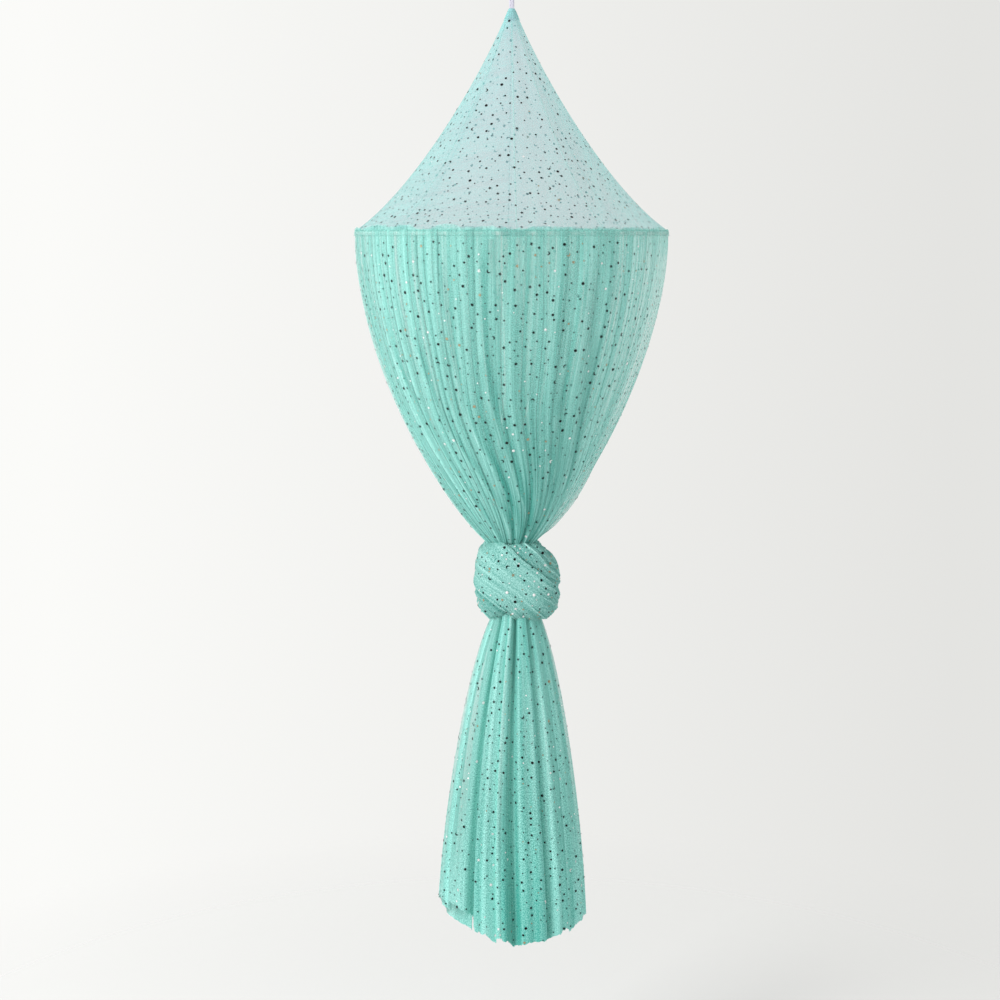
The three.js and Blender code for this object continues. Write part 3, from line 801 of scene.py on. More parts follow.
def ring_piece(scene):
    """A ring of round wire, a little thicker at its weld."""
    middle = (RING_LOW + RING_HIGH) / 2
    wire = RING_HIGH.y
    radius = RING_HIGH.x - wire
    turns = full_turn(96)
    path = np.stack([radius * np.cos(turns), np.zeros(96), middle.z + radius * np.sin(turns)], axis=-1)
    weld = 1.0 + 0.06 * np.exp(-((around(np.degrees(turns), 205) / 5.0) ** 2))
    ring = tube("hanging_ring_welded", path, wire * weld, closed=True)
    dress(ring, steel(scene, "Ring steel", 0.22, size=90.0), RING, ["hanging_ring"])


def strap_piece(scene):
    """One tape that runs up, over the ring's lowest stretch and down again, sewn to itself."""
    ply, skin, eye_drop, under_eye, over_binding = 0.0014, 0.00005, 0.024, 0.016, 0.004
    width, outer = STRAP_HIGH.x - STRAP_LOW.x, STRAP_HIGH.y
    reach = outer - ply / 2
    eye_z = STRAP_HIGH.z - outer
    join, bottom = eye_z - eye_drop, STRAP_LOW.z
    rise = quadratic([(ply / 2, join), (reach, join + eye_drop / 2), (reach, eye_z)], np.linspace(0, 1, 20))
    over = arc((0.0, eye_z), reach, 0, 180, 24)[1:-1]
    up = [(ply / 2, z) for z in np.linspace(bottom, join, 60)[:-1]]
    half = np.concatenate([up, rise])
    line = np.concatenate([half, over, half[::-1] * (-1, 1)])
    ahead = unit(np.gradient(line, axis=0))
    out = np.stack([ahead[:, 1], -ahead[:, 0]], axis=-1)
    across = np.array([-1, -0.96, -0.5, 0, 0.5, 0.96, 1, 0.96, 0.5, 0, -0.5, -0.96]) * width / 2
    side = np.array([0, 0.75, 1, 0.94, 1, 0.75, 0, -0.75, -1, -0.94, -1, -0.75])
    places = line[:, None, :] + out[:, None, :] * (side * (ply / 2 - skin))[None, :, None]
    x = np.broadcast_to(across, places.shape[:2])
    points = np.stack([x, places[..., 0], places[..., 1]], axis=-1)
    cloth = pairs(np.append(across, across[0])[None, :], distances(line)[:, None])
    strap = grid_mesh("hanging_strap_woven", points, cloth, looped=True)
    webbing = material("Strap webbing", webbing_finish, scene.canopy_colours.webbing)
    dress(strap, webbing, CANOPY, ["hanging_strap"])
    strap_stitches(ply, {"upper": join - under_eye, "lower": BINDING_HIGH.z + over_binding})


def strap_stitches(ply, heights):
    """A box with a cross in it, sewn on both faces above each of the heights."""
    half_width, height = 0.0032, 0.012
    length, gap, thickness, above = 0.0019, 0.0009, 0.0006, 0.0001
    sewn = material("Strap thread", hard_finish, (0.5, 0.48, 0.58), roughness=0.7, size=400.0)
    for word, low in heights.items():
        left_low, right_low = (-half_width, low), (half_width, low)
        left_high, right_high = (-half_width, low + height), (half_width, low + height)
        corners = [left_low, right_low, right_high, left_high, left_low, right_high, right_low, left_high]
        runs = [np.linspace(a, b, 8)[:-1] for a, b in zip(corners, corners[1:])]
        path = np.concatenate([*runs, [left_high]])
        for face, sign in (("front", -1), ("back", 1)):
            points = np.stack([path[:, 0], np.full(len(path), sign * (ply + above)), path[:, 1]], axis=-1)
            out = np.tile((0.0, float(sign), 0.0), (len(path), 1))
            name = f"strap_stitches_{word}_{face}"
            dress(stitches(name, points, out, length, gap, thickness, closed=False), sewn)


# ---------------------------------------------------------------- crown


def crown_outline(sizes, level):
    """(radius, height) of the cone at levels from its top, 0, to the hoop, 1."""
    top, bottom = GORE_HIGH.z + sizes.top_rise, GORE_LOW.z
    points = [
        (sizes.top_radius, top),
        (sizes.waist * CROWN_RADIUS, mix(bottom, top, 0.675)),
        (sizes.flare * CROWN_RADIUS, mix(bottom, top, 0.178)),
        (HOOP_RADIUS, bottom),
    ]
    return cubic(points, level)


def seam_share(degrees):
    """How far each angle lies from one seam towards the next, from 0 to 1."""
    return on_circle(degrees, SEAM_ANGLES)[1]


# How dense the crown's net looks, and how mint its colour, by angle.
CROWN_NETTING = (
    (-180, 1.0), (-120, 1.15), (-85, 1.30), (-55, 1.22), (-35, 1.02), (0, 0.98), (35, 1.0), (55, 1.15),
    (90, 1.25), (130, 1.05),
)
CROWN_TINT = (
    (-180, 0.50), (-120, 0.85), (-85, 0.95), (-60, 0.76), (-42, 0.44), (-25, 0.26), (0, 0.20),
    (25, 0.28), (42, 0.45), (62, 0.85), (90, 0.95), (130, 0.60),
)


def crown_surface(sizes, level, degrees):
    """The cone's points, slack between the seams and drawn into small gathers at the hoop."""
    outline = crown_outline(sizes, level)
    radians = np.radians(degrees)
    share = seam_share(degrees)
    slack = sizes.sag * np.sin(np.pi * level) * np.sin(np.pi * share)
    gather_depth, pull_depth = 0.0009, 0.0012
    gathers = round_waves(radians, 11, 60, 90) * gather_depth * ease(level, 0.86, 1.0)
    pulls = round_waves(radians, 12, 9, 22) * pull_depth * np.sin(np.pi * level) ** 0.7 * (1 - 0.6 * level)
    radius = outline[..., 0] * (1 - slack) + gathers + pulls * ease(level, 0.03, 0.2)
    return polar(radius, radians, outline[..., 1])


def crown_piece(scene):
    sizes = scene.canopy_crown
    level = np.linspace(0, 1, sizes.rows + 1)[:, None] ** 0.9
    degrees = np.linspace(0, 360, sizes.columns, endpoint=False)[None, :]
    level, degrees = np.broadcast_arrays(level, degrees)
    points = crown_surface(sizes, level, degrees)
    outline = crown_outline(sizes, level[:, :1])[:, 0]
    turns = np.linspace(0, WHOLE_TURN, sizes.columns + 1)
    cloth = pairs(turns[None, :] * outline[:, :1], distances(outline)[:, None])
    share = seam_share(degrees)
    netting = by_angle(degrees, CROWN_NETTING) + 0.08 * (1 - ease(level, 0.35, 0.8))
    netting = netting + 0.05 * round_waves(np.radians(degrees), 14, 3, 9)
    netting = netting + 0.7 * (1 - ease(level, 0.0, 0.16))
    netting = netting + 0.10 * np.exp(-np.minimum(share, 1 - share) * 16.0)
    ridge = by_angle(degrees, CROWN_TINT) + 0.4 * (1 - ease(level, 0.0, 0.15))
    net = grid_mesh("crown_net", points, cloth, looped=True, netting=netting, ridge=np.clip(ridge, 0, 1))
    nodes = [f"crown_gore_{number}" for number in range(1, 9)]
    return dress(net, crown_net(scene), CANOPY, nodes)


def seam_pieces(scene):
    """A narrow folded tape along each seam of the crown."""
    sizes = scene.canopy_crown
    seam_length, stitch_step = 0.52, 0.0076
    level = np.linspace(0.06, 0.994, 130)[:, None]
    made = []
    for number, degrees in enumerate(SEAM_ANGLES, 1):
        outline = crown_outline(sizes, level)
        across = np.array([-1.0, -0.82, 0.0, 0.82, 1.0])[None, :]
        half = np.minimum(sizes.tape_width / 2, 0.2 * outline[..., 0])
        rise = np.array([0.0001, 1.0, 1.15, 1.0, 0.0001])[None, :] * sizes.tape_lift
        radians = math.radians(degrees) + across * half / outline[..., 0]
        points = polar(outline[..., 0] + rise, radians, outline[..., 1])
        cloth = pairs(across * sizes.tape_width / 2, level * seam_length)
        wave = np.sign(np.sin(level * seam_length / stitch_step * WHOLE_TURN))
        stitch = 0.5 + 0.5 * wave * (np.abs(across) < 0.5)
        netting = 0.12 + 0.16 * stitch + 0.0 * across
        tape = grid_mesh(f"seam_tape_{number}", points, cloth, netting=netting, ridge=0.55 - 0.3 * stitch)
        made.append(dress(tape, bound_net(scene), CANOPY, [f"seam_binding_{number}"]))
    return made


def apex_squeeze(drop):
    """How far the bound top is pressed flat on the strap, by how far down it is."""
    return 1 - 0.55 * (1 - ease(drop, -0.004, 0.010))


def apex_piece(scene):
    """The bound top: a strip of net turned over the gores' ends and sewn round the strap."""
    sizes = scene.canopy_crown
    thickness, turned_radii, turned_under = 0.0005, (0.0046, 0.0047, 0.0050), (0.0005, 0.0011)
    top, low = BINDING_HIGH.z, BINDING_LOW.z
    turns = full_turn(144)[None, :]
    fine = crown_outline(sizes, np.linspace(0, 0.2, 200))
    turned_in, body = [top - 0.006, top - 0.002, top], np.linspace(top - 0.0006, low, 40)
    height = np.concatenate([turned_in, body, [low, low + 0.0006]])
    radius = np.interp(-height, -fine[:, 1], fine[:, 0]) + thickness
    radius[:3] = turned_radii
    radius[-2:] -= turned_under
    radius, height = radius[:, None], height[:, None]
    creases = round_waves(turns, 21, 12, 26) * 0.05 + round_waves(turns, 22, 30, 44) * 0.03
    points = polar(radius * (1 + creases * ease(top - height, 0.0, 0.006)), turns, height)
    points[..., 1] *= apex_squeeze(top - height)
    cloth = pairs(np.linspace(0, WHOLE_TURN * 0.012, 145)[None, :], height - low)
    # Painted light and shade on the creases.
    ridge = np.clip(0.85 + creases * 4 + 0.0 * height, 0, 1)
    netting = 0.5 + 1.2 * ease(height - low, 0.0, 0.014)
    binding = grid_mesh("apex_binding_sewn", points, cloth, looped=True, netting=netting, ridge=ridge)
    dress(binding, crown_net(scene), CANOPY, ["apex_binding"])
    ring = full_turn(90)
    length, gap, thickness, beyond_net = 0.0020, 0.0010, 0.0004, 0.0013
    for word, drop in (("upper", 0.0065), ("lower", 0.0190)):
        reach = np.interp(-(top - drop), -fine[:, 1], fine[:, 0]) + beyond_net
        path = polar(reach, ring, top - drop)
        path[..., 1] *= apex_squeeze(drop)
        row = stitches(f"apex_stitches_{word}", path, polar(1.0, ring, 0.0), length, gap, thickness)
        dress(row, thread(scene))


# ---------------------------------------------------------------- hoop, channel and frill


# How strongly the net stands in folds round the canopy: strong on the left, nearly flat on the right.
FOLD_STRENGTH = (
    (-180, 0.80), (-120, 0.90), (-60, 1.00), (-22, 0.90), (-8, 0.55), (12, 0.40), (30, 0.45),
    (45, 0.30), (66, 0.25), (80, 0.10), (112, 0.08), (132, 0.12), (150, 0.60), (165, 0.85),
)

# How much of itself the net covers in its folds.
FOLD_OVERLAP = (
    (-180, 5.2), (-100, 4.8), (-70, 4.6), (-40, 5.0), (-10, 5.4), (20, 5.6), (36, 5.0), (58, 4.0),
    (70, 2.4), (112, 2.4), (130, 4.0), (140, 5.2),
)

# Lighter slits in the gathers: angle, half width, level where they end, and share of net that is left.
SLITS = (
    (-7.0, 1.9, 0.20, 0.30), (-2.6, 1.2, 0.15, 0.6), (2.2, 1.6, 0.30, 0.25), (13.5, 4.6, 0.17, 0.6),
    (21.0, 1.6, 0.14, 0.6),
)

# Painted highlights: long light lines where broad folds turn over, each a path of (level, angle).
HIGHLIGHT_LINES = (
    ((0.22, -60.0), (0.387, -57.5), (0.534, -51.0), (0.813, -47.0), (0.954, -41.0)),
    ((0.30, -43.0), (0.43, -39.5), (0.557, -37.0), (0.75, -28.5), (0.944, -18.0)),
    ((0.05, -12.0), (0.34, -12.7), (0.48, -10.0), (0.643, -7.4), (0.75, -5.6), (0.987, 11.0)),
    ((0.0, 35.3), (0.2, 35.5), (0.57, 32.7), (0.72, 33.3), (1.0, 37.0)),
    ((0.12, 24.0), (0.45, 21.0), (0.7, 17.0)),
    ((0.10, -27.0), (0.35, -26.0), (0.6, -22.0), (0.95, -8.0)),
    ((0.45, -72.0), (0.7, -66.0), (0.95, -60.0)),
)

# Where the flat strip on the right begins, by level down the skirt.
STRIP_EDGE = ((0.0, 72.0), (0.25, 69.0), (0.45, 63.0), (0.65, 54.0), (0.85, 46.0), (1.0, 42.0))

# The skirt's way over the channel: (radius beyond the hoop, height above it).
HEADER_SECTION = (
    (0.0036, 0.0066), (0.0056, 0.0050), (0.0068, 0.0026), (0.0072, -0.0008), (0.0069, -0.0046),
)


def hoop_pieces(scene):
    """The rods and sleeves stay the frame's own solids, and get their materials here."""
    rod = material("Rod plastic", hard_finish, scene.canopy_colours.rod, roughness=0.5, size=30.0)
    sleeve = steel(scene, "Sleeve steel", 0.35, size=120.0)
    for number in PANELS:
        for word, finish in (("rod", rod), ("connector", sleeve)):
            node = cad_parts[f"hoop_{word}_{number}"]
            if node.data.materials:
                node.material_slots[0].link = "OBJECT"
                node.material_slots[0].material = finish


def channel_piece(scene):
    """The net sewn round the hoop, puckered where it is gathered."""
    columns, sides = 1080, 20
    inset, fine_depth, broad_depth = 0.0014, 0.0006, 0.0003
    turns = full_turn(columns)[None, :]
    section = np.linspace(0, WHOLE_TURN, sides + 1)[:, None]
    strength = by_angle(np.degrees(turns), FOLD_STRENGTH)
    pucker = round_waves(turns, 31, 120, 190) * fine_depth + round_waves(turns, 32, 40, 80) * broad_depth
    pucker = pucker * strength
    reach = CHANNEL_REACH - inset + pucker * (1.0 + 0.3 * np.cos(section))
    points = polar(HOOP_RADIUS + reach * np.cos(section), turns, HOOP_Z + reach * np.sin(section))
    length = np.linspace(0, WHOLE_TURN * HOOP_RADIUS, columns + 1)[None, :]
    cloth = pairs(length, section * CHANNEL_REACH)
    # Painted light and shade on the puckers.
    ridge = np.clip(0.75 + pucker * 250, 0, 1) * np.ones_like(section)
    channel = grid_mesh("hoop_channel_sewn", points, cloth, looped=True, netting=0.14, ridge=ridge)
    dress(channel, bound_net(scene), CANOPY, ["hoop_channel"])
    ring = full_turn(1440)
    length, gap, thickness = 0.0026, 0.0013, 0.0005
    uneven = 0.0003 * round_waves(ring, 33, 20, 60)
    for word, height, lift in (("upper", 0.0050, 0.0062), ("lower", -0.0046, 0.0078)):
        path = polar(HOOP_RADIUS + lift, ring, HOOP_Z + height + uneven)
        row = stitches(f"channel_stitches_{word}", path, polar(1.0, ring, 0.0), length, gap, thickness)
        dress(row, thread(scene))


def frill_piece(scene):
    """The gathered edge that stands above the channel, round the cone's foot."""
    sizes = scene.canopy_skirt
    columns, rows = 1800, 9
    fine_sway, broad_sway, fullness = 0.0014, 0.0022, 1.6
    foot_drop, foot_reach, waist, flare, least_height = 0.0045, 0.0050, 0.0028, 0.0026, 0.0035
    turns = full_turn(columns)[None, :]
    rise = np.linspace(0, 1, rows)[:, None]
    strength = by_angle(np.degrees(turns), FOLD_STRENGTH) * 0.8 + 0.2
    fine = round_waves(turns, 41, 110, 180)
    broad = round_waves(turns, 42, 22, 48)
    sway = (fine * fine_sway + broad * broad_sway) * strength
    uneven = 0.50 * round_waves(turns, 43, 8, 26) + 0.20 * round_waves(turns, 44, 50, 90)
    height = 0.06 + 0.46 * strength + uneven * (0.2 + 0.6 * strength)
    sides = swell(np.degrees(turns), 90, 24) + swell(np.degrees(turns), -90, 24)
    height = np.clip(height, 0.04, 1.2) * sizes.frill_height * (1 - 0.7 * sides)
    foot = GORE_LOW.z - foot_drop
    radius = HOOP_RADIUS + foot_reach - waist * np.sin(0.5 * np.pi * rise) + rise**1.3 * (flare + sway)
    points = polar(radius, turns, foot + rise * (height + least_height))
    length = np.linspace(0, WHOLE_TURN * HOOP_RADIUS * fullness, columns + 1)[None, :]
    cloth = pairs(length, rise * sizes.frill_height)
    # Painted light and shade on the frill's ripples, and a painted highlight along its top edge.
    ridge = np.clip(0.31 + (fine + broad) * 0.36 * strength + 0.30 * ease(rise, 0.85, 1.0), 0, 1)
    netting = (1.5 - 0.3 * ease(rise, 0.45, 1.0)) * (1 + 0.15 * fine)
    frill = grid_mesh("header_frill", points, cloth, looped=True, netting=netting, ridge=ridge)
    return dress(frill, skirt_net(scene), CANOPY, ["header_ruffle"])


# ---------------------------------------------------------------- skirt


# Painted light and shade on the skirt's net, by angle: darkest in the middle of the front.
SKIRT_PAINTED_LIGHT = (
    (-180, 0.50), (-100, 0.70), (-50, 0.68), (-25, 0.54), (-8, 0.42), (4, 0.37), (16, 0.46), (30, 0.60),
    (44, 0.72), (60, 0.68), (90, 0.58), (140, 0.46),
)


def skirt_outline(sizes, level):
    inset = 0.0003
    top, bottom = HOOP_Z - CHANNEL_REACH - inset, HOOP_Z - sizes.height
    points = [
        (CROWN_RADIUS - inset, top),
        (CROWN_RADIUS, HOOP_Z - 0.3 * sizes.height),
        (0.62 * CROWN_RADIUS, HOOP_Z - 0.78 * sizes.height),
        (sizes.neck_radius, bottom),
    ]
    return cubic(points, level)


def loose_edge(degrees, level):
    """Where the net stands away from the rest, low down on the right."""
    return swell(degrees, 86, 28) * ease(level, 0.68, 0.85) * (1 - ease(level, 0.92, 0.99))


def skirt_density(degrees, level):
    """How much net there is: less in the slits and in the flat strip on the right, more near the knot."""
    radians = np.radians(degrees)
    bunched = 0.16 * round_waves(radians, 53, 24, 56) + 0.10 * round_waves(radians, 54, 80, 170)
    netting = 0.92 + 0.65 * ease(level, 0.3, 0.95) + bunched * (0.35 + by_angle(degrees, FOLD_STRENGTH))
    for centre, half, end, left in SLITS:
        down = (1 - ease(level, 0.35 * end, end)) * ease(level, 0.0, 0.012)
        netting = netting * (1 - (1 - left) * swell(degrees, centre, half) * down)
    edge = np.interp(level, *zip(*STRIP_EDGE))
    inside = around(degrees, 0.0) - edge
    strip = ease(inside, 0.0, 3.0) * (1 - ease(inside, 40.0, 52.0)) * ease(level, 0.02, 0.09)
    sides = ease(level, 0.45, 0.7) * (1 - ease(level, 0.9, 1.0)) * swell(degrees, -88, 26)
    sides = sides + 1.2 * loose_edge(degrees, level)
    thin = swell(degrees, 6, 22) * (1 - ease(level, 0.1, 0.3))
    sparse = 1 + 0.30 * swell(degrees, 98, 26) - 0.14 * swell(degrees, 46, 18)
    sparse = sparse - 0.34 * swell(degrees, -80, 22)
    return sparse * netting * (1 - 0.36 * strip) * (1 - 0.45 * sides) * (1 - 0.15 * thin)


def painted_fold_lines(degrees, level, radius):
    """Painted highlights: thin light lines along the paths in HIGHLIGHT_LINES, each with a band of painted
    shade on its right.
    """
    total = np.zeros(degrees.shape)
    for path in HIGHLIGHT_LINES:
        levels, angles = zip(*path)
        beside = np.radians(around(degrees, 0.0) - np.interp(level, levels, angles)) * radius
        first, last = levels[0], levels[-1]
        here = ease(level, first - 0.05, first + 0.05) * (1 - ease(level, last, last + 0.1))
        painted_shade = 0.30 * np.exp(-(((beside - 0.010) / 0.007) ** 2)) * (beside > 0)
        total = total + here * (0.35 * np.exp(-((beside / 0.0016) ** 2)) - painted_shade)
    return total


def fold_places(count, steps, rng, level):
    """Where each column lies along the panel, and how deep in its fold, for every row."""
    widths = rng.uniform(0.55, 1.45, count)
    edges = np.concatenate([[0], np.cumsum(widths)]) / widths.sum()
    speed, phase = rng.uniform(0.35, 1.1, count + 1), rng.uniform(0, 1, count + 1)
    wander = 0.30 / count * np.sin(WHOLE_TURN * (speed * level + phase)) * ease(level, 0.0, 0.3)
    wander[:, [0, -1]] = 0
    edges = edges + wander
    start, width = edges[:, :-1, None], np.diff(edges, axis=1)[..., None]
    within = (np.arange(steps) / steps)[None, None, :]
    lean = rng.uniform(-0.7, 0.7, count)[None, :, None]
    varied = rng.uniform(0.8, 1.25, count)[None, :, None]
    depth = rng.uniform(0.35, 1.0, count)[None, :, None]
    return start, width, within, lean, varied, depth


def skirt_panel(scene, number):
    """One of the skirt's panels, whose gathers lie over one another and narrow together at the knot."""
    sizes = scene.canopy_skirt
    rng = np.random.default_rng(100 + number)
    level = np.linspace(0, 1, sizes.rows + 1)[:, None]
    start, width, within, lean, varied, depth = fold_places(sizes.folds, sizes.fold_steps, rng, level)
    lap, lift, nesting, header_depth, header_nesting = 1.6, 0.0004, 0.0018, 0.0012, 0.0006
    broad_roll, fine_roll, bundle_depth, loose_reach = 0.0035, 0.0028, 0.0034, 0.0090
    first = OPENING_ANGLE + 90.0 * (number - 1) - lap
    span = 90.0 + 2 * lap
    middle = first + span * (start + width / 2)
    overlap = by_angle(middle, FOLD_OVERLAP) * varied
    slide = overlap * (np.sin(2 * WHOLE_TURN * within + lean) - np.sin(lean)) / (2 * WHOLE_TURN)
    valley = (1 - np.cos(WHOLE_TURN * within)) / 2 * depth * np.ones_like(start)
    ahead = 1 + overlap * np.cos(2 * WHOLE_TURN * within + lean)
    ends = ((start + width * (within + slide), 1.0), (valley, 0.0), (ahead, 1.0))
    share, valley, ahead = (
        np.concatenate([value.reshape(len(level), -1), np.full_like(level, end)], axis=1)
        for value, end in ends
    )
    degrees = first + span * np.clip(share, -0.01, 1.01)
    strength = by_angle(degrees, FOLD_STRENGTH)
    swelling = 0.22 + 0.78 * np.sin(np.pi * np.minimum(level, 0.72) / 1.44) ** 1.2
    outline = skirt_outline(sizes, level)
    radians = np.radians(degrees)
    drift = radians + 0.05 * np.sin(level * 5.0 + 3.0 * radians) * ease(level, 0.0, 0.3)
    uneven = round_waves(drift, 52, 22, 44)
    rolling = round_waves(drift, 51, 5, 13) * broad_roll + uneven * fine_roll * (0.3 + strength)
    bundled = round_waves(drift, 56, 16, 40)
    gathered = ease(level, 0.62, 0.95)
    deep = sizes.fold_depth * swelling * (0.15 + 0.85 * strength)
    every_other = number % 2
    radius = outline[..., 0] + rolling * np.sin(np.pi * np.minimum(level * 1.25, 1.0)) - deep * valley
    radius = radius + bundle_depth * bundled * gathered - nesting * every_other + lift
    radius = radius + loose_reach * loose_edge(degrees, level)
    twist = sizes.twist * ease(level, 0.45, 1.0)
    points = polar(radius, radians + twist, outline[..., 1])
    end_radius = sizes.tuck_radius - 0.6 * deep[-1:] * valley[-1:]
    tucked = polar(end_radius, (radians + twist)[-1:], outline[-1, 0, 1] - sizes.tuck)
    header = np.array(HEADER_SECTION)
    over_radius = HOOP_RADIUS + header[:, :1] - header_depth * valley[:1] - header_nesting * every_other
    over = polar(over_radius, radians[:1], HOOP_Z + header[:, 1:])
    points = np.concatenate([over, points, tucked])
    row = points[len(header) + len(level) // 6]
    cloth = pairs(distances(row)[None, :] + number * 3.0, distances(points[:, 0])[:, None])
    netting = skirt_density(degrees, level) * np.clip(0.55 + 0.38 * ahead, 0.6, 1.4)
    # Painted light and shade on the skirt: painted creases, painted highlights where the folds turn over
    # (edges), painted shade across the middle front lower down, lighter and darker bundles near the knot,
    # and painted shade in the fold valleys.
    painted_creases = uneven * 0.11 * (0.3 + strength) + round_waves(drift, 57, 60, 120) * 0.04
    edges = 0.30 * np.exp(-((ahead / 0.35) ** 2)) * ease(strength, 0.2, 0.6)
    ridge = by_angle(degrees, SKIRT_PAINTED_LIGHT) - 0.16 * ease(level, 0.3, 0.65) * swell(degrees, 8, 36)
    ridge = ridge + (0.28 * bundled - 0.10) * gathered
    ridge = ridge + painted_creases - 0.22 * valley * np.clip(strength + 0.2, 0, 1)
    ridge = np.clip(ridge + edges + painted_fold_lines(degrees, level, outline[..., 0]), 0, 1)
    netting = np.concatenate([np.repeat(0.8 * netting[:1], len(header), axis=0), netting, netting[-1:]])
    ridge = np.concatenate([np.repeat(ridge[:1], len(header), axis=0), ridge, ridge[-1:]])
    net = grid_mesh(f"skirt_net_{number}", points, cloth, netting=netting, ridge=ridge)
    return dress(net, skirt_net(scene), CANOPY, [f"skirt_panel_{number}"])


# ---------------------------------------------------------------- knot


# The wound band's upper and lower edges: turn about the tilted axis, and degrees of latitude.
BAND_TOP = (
    (-170, 30), (-120, 35), (-60, 29), (0, 20), (11, 24.5), (41, 33.5), (80, 37.5), (124, 34), (150, 31),
)
BAND_FOOT = (
    (-170, -38), (-120, -32), (-60, -38), (0, -44), (40, -47), (67, -45), (88, -40.5), (108, -39.5),
    (155, -41),
)

# The knot's outline from the front: angle from the right towards the top, and reach.
KNOT_OUTLINE = (
    (-5, 0.0880), (11, 0.0900), (27, 0.0905), (48, 0.0890), (66, 0.0915), (90, 0.0945), (115, 0.0945),
    (137, 0.0955), (152, 0.0885), (168, 0.0825), (185, 0.0845), (201, 0.0890), (217, 0.0970),
    (232, 0.0930), (240, 0.0850), (250, 0.0775), (257, 0.0740), (265, 0.0770), (284, 0.0780),
    (300, 0.0860), (312, 0.0930), (325, 0.0940), (339, 0.0885),
)

# The knot's width that this outline goes with.
OUTLINE_WIDTH = 0.168

# The radius that the knot's net is measured on, to lay it out flat.
KNOT_CLOTH_RADIUS = 0.08


def knot_heights(scene):
    """Heights of the knot's top and bottom."""
    top = HOOP_Z - scene.canopy_skirt.height
    return top, top - scene.canopy_knot.height


def knot_centre(scene):
    sizes = scene.canopy_knot
    return np.array([sizes.shift, 0.0, knot_heights(scene)[0] - sizes.height / 2])


def knot_reach(sizes, way):
    """How far the knot's plain body reaches in each direction."""
    turn = np.degrees(np.arctan2(way[..., 2], way[..., 0]))
    front = by_angle(turn, KNOT_OUTLINE) * sizes.width / OUTLINE_WIDTH
    flat = np.hypot(way[..., 0], way[..., 2])
    full = sizes.boxy + 1.6 * ease(way[..., 2], 0.35, 0.8)
    return ((flat / front) ** full + (np.abs(way[..., 1]) / (sizes.depth / 2)) ** full) ** (-1 / full)


def knot_ways(sizes, turn, latitude):
    """Directions about the band's tilted axis: turn 0 is the lower right and 90 the front."""
    lean = sizes.tilt
    axis = np.array([math.sin(lean), 0.0, math.cos(lean)])
    right = np.array([math.cos(lean), 0.0, -math.sin(lean)])
    front = np.array([0.0, -1.0, 0.0])
    turn, latitude = np.radians(turn), np.radians(latitude)
    flat = np.cos(latitude)
    return (
        np.sin(latitude)[..., None] * axis
        + (flat * np.cos(turn))[..., None] * right
        + (flat * np.sin(turn))[..., None] * front
    )


def knot_mesh(scene, name, node, way, reach, across, ridge, capped=False):
    """Skins a grid of directions, each as far out as reach says. across places its rows on the flat net."""
    points = knot_centre(scene) + way * reach[..., None]
    around_knot = np.radians(np.linspace(-180, 180, reach.shape[1] + 1))[None, :] * KNOT_CLOTH_RADIUS
    values = {"netting": 1.0, "ridge": np.clip(ridge, 0, 1)}
    net = grid_mesh(name, points, pairs(across, around_knot), looped=True, capped=capped, **values)
    return dress(net, knot_net(scene), CANOPY, [node])


def pleats(place, seed, finest):
    """Fine soft ridges across a run of net, each from 0 to 1."""
    rng = np.random.default_rng(seed)
    total = np.zeros_like(place)
    for share in (0.35, 0.6, 1.0):
        run = place * (finest * share)
        wave = 0.5 + 0.5 * np.sin(run + rng.uniform(0, WHOLE_TURN) + 1.4 * np.sin(run * 0.23))
        total = total + wave**2.2
    return total / 3


def knot_core_piece(scene):
    """The net that runs through the knot, seen above and below the wound band."""
    sizes = scene.canopy_knot
    rows = 300
    sunk, pleat_depth, lobe_depth, groove_depth = 0.0080, 0.0052, 0.0020, 0.0030
    turn = np.linspace(-180, 180, sizes.columns + 1)[None, :-1]
    latitude = np.linspace(-89, 89, rows)[:, None]
    turn, latitude = np.broadcast_arrays(turn, latitude)
    top, foot = by_angle(turn, BAND_TOP), by_angle(turn, BAND_FOOT)
    place = latitude - np.where(latitude > 0, top - 33, foot + 38) * (1 - ease(np.abs(latitude), 55, 85))
    place = place + 1.6 * np.sin(np.radians(turn * 2 + 40))
    crease = pleats(place, 61, 1.15)
    beside = np.minimum(np.abs(latitude - top), np.abs(latitude - foot))
    way = knot_ways(sizes, turn, latitude)
    steep = pleat_depth * ease(np.abs(latitude), 22, 42)
    lobe = lobe_depth * np.sin(np.radians(3 * turn + 2 * latitude))
    reach = knot_reach(sizes, way) - sunk + steep * crease + lobe
    reach = reach - groove_depth * np.exp(-((beside / 2.2) ** 2))
    across = np.radians(np.linspace(-90, 89, rows))[:, None] * KNOT_CLOTH_RADIUS
    # Painted light and shade: lighter on the pleats' crests, and a painted shadow line along the band's
    # edges.
    ridge = 0.40 * crease + 0.30 * ease(crease, 0.66, 0.9) - 0.7 * np.exp(-((beside / 1.6) ** 2))
    return knot_mesh(scene, "knot_core", "knot_bundle", way, reach, across, ridge, capped=True)


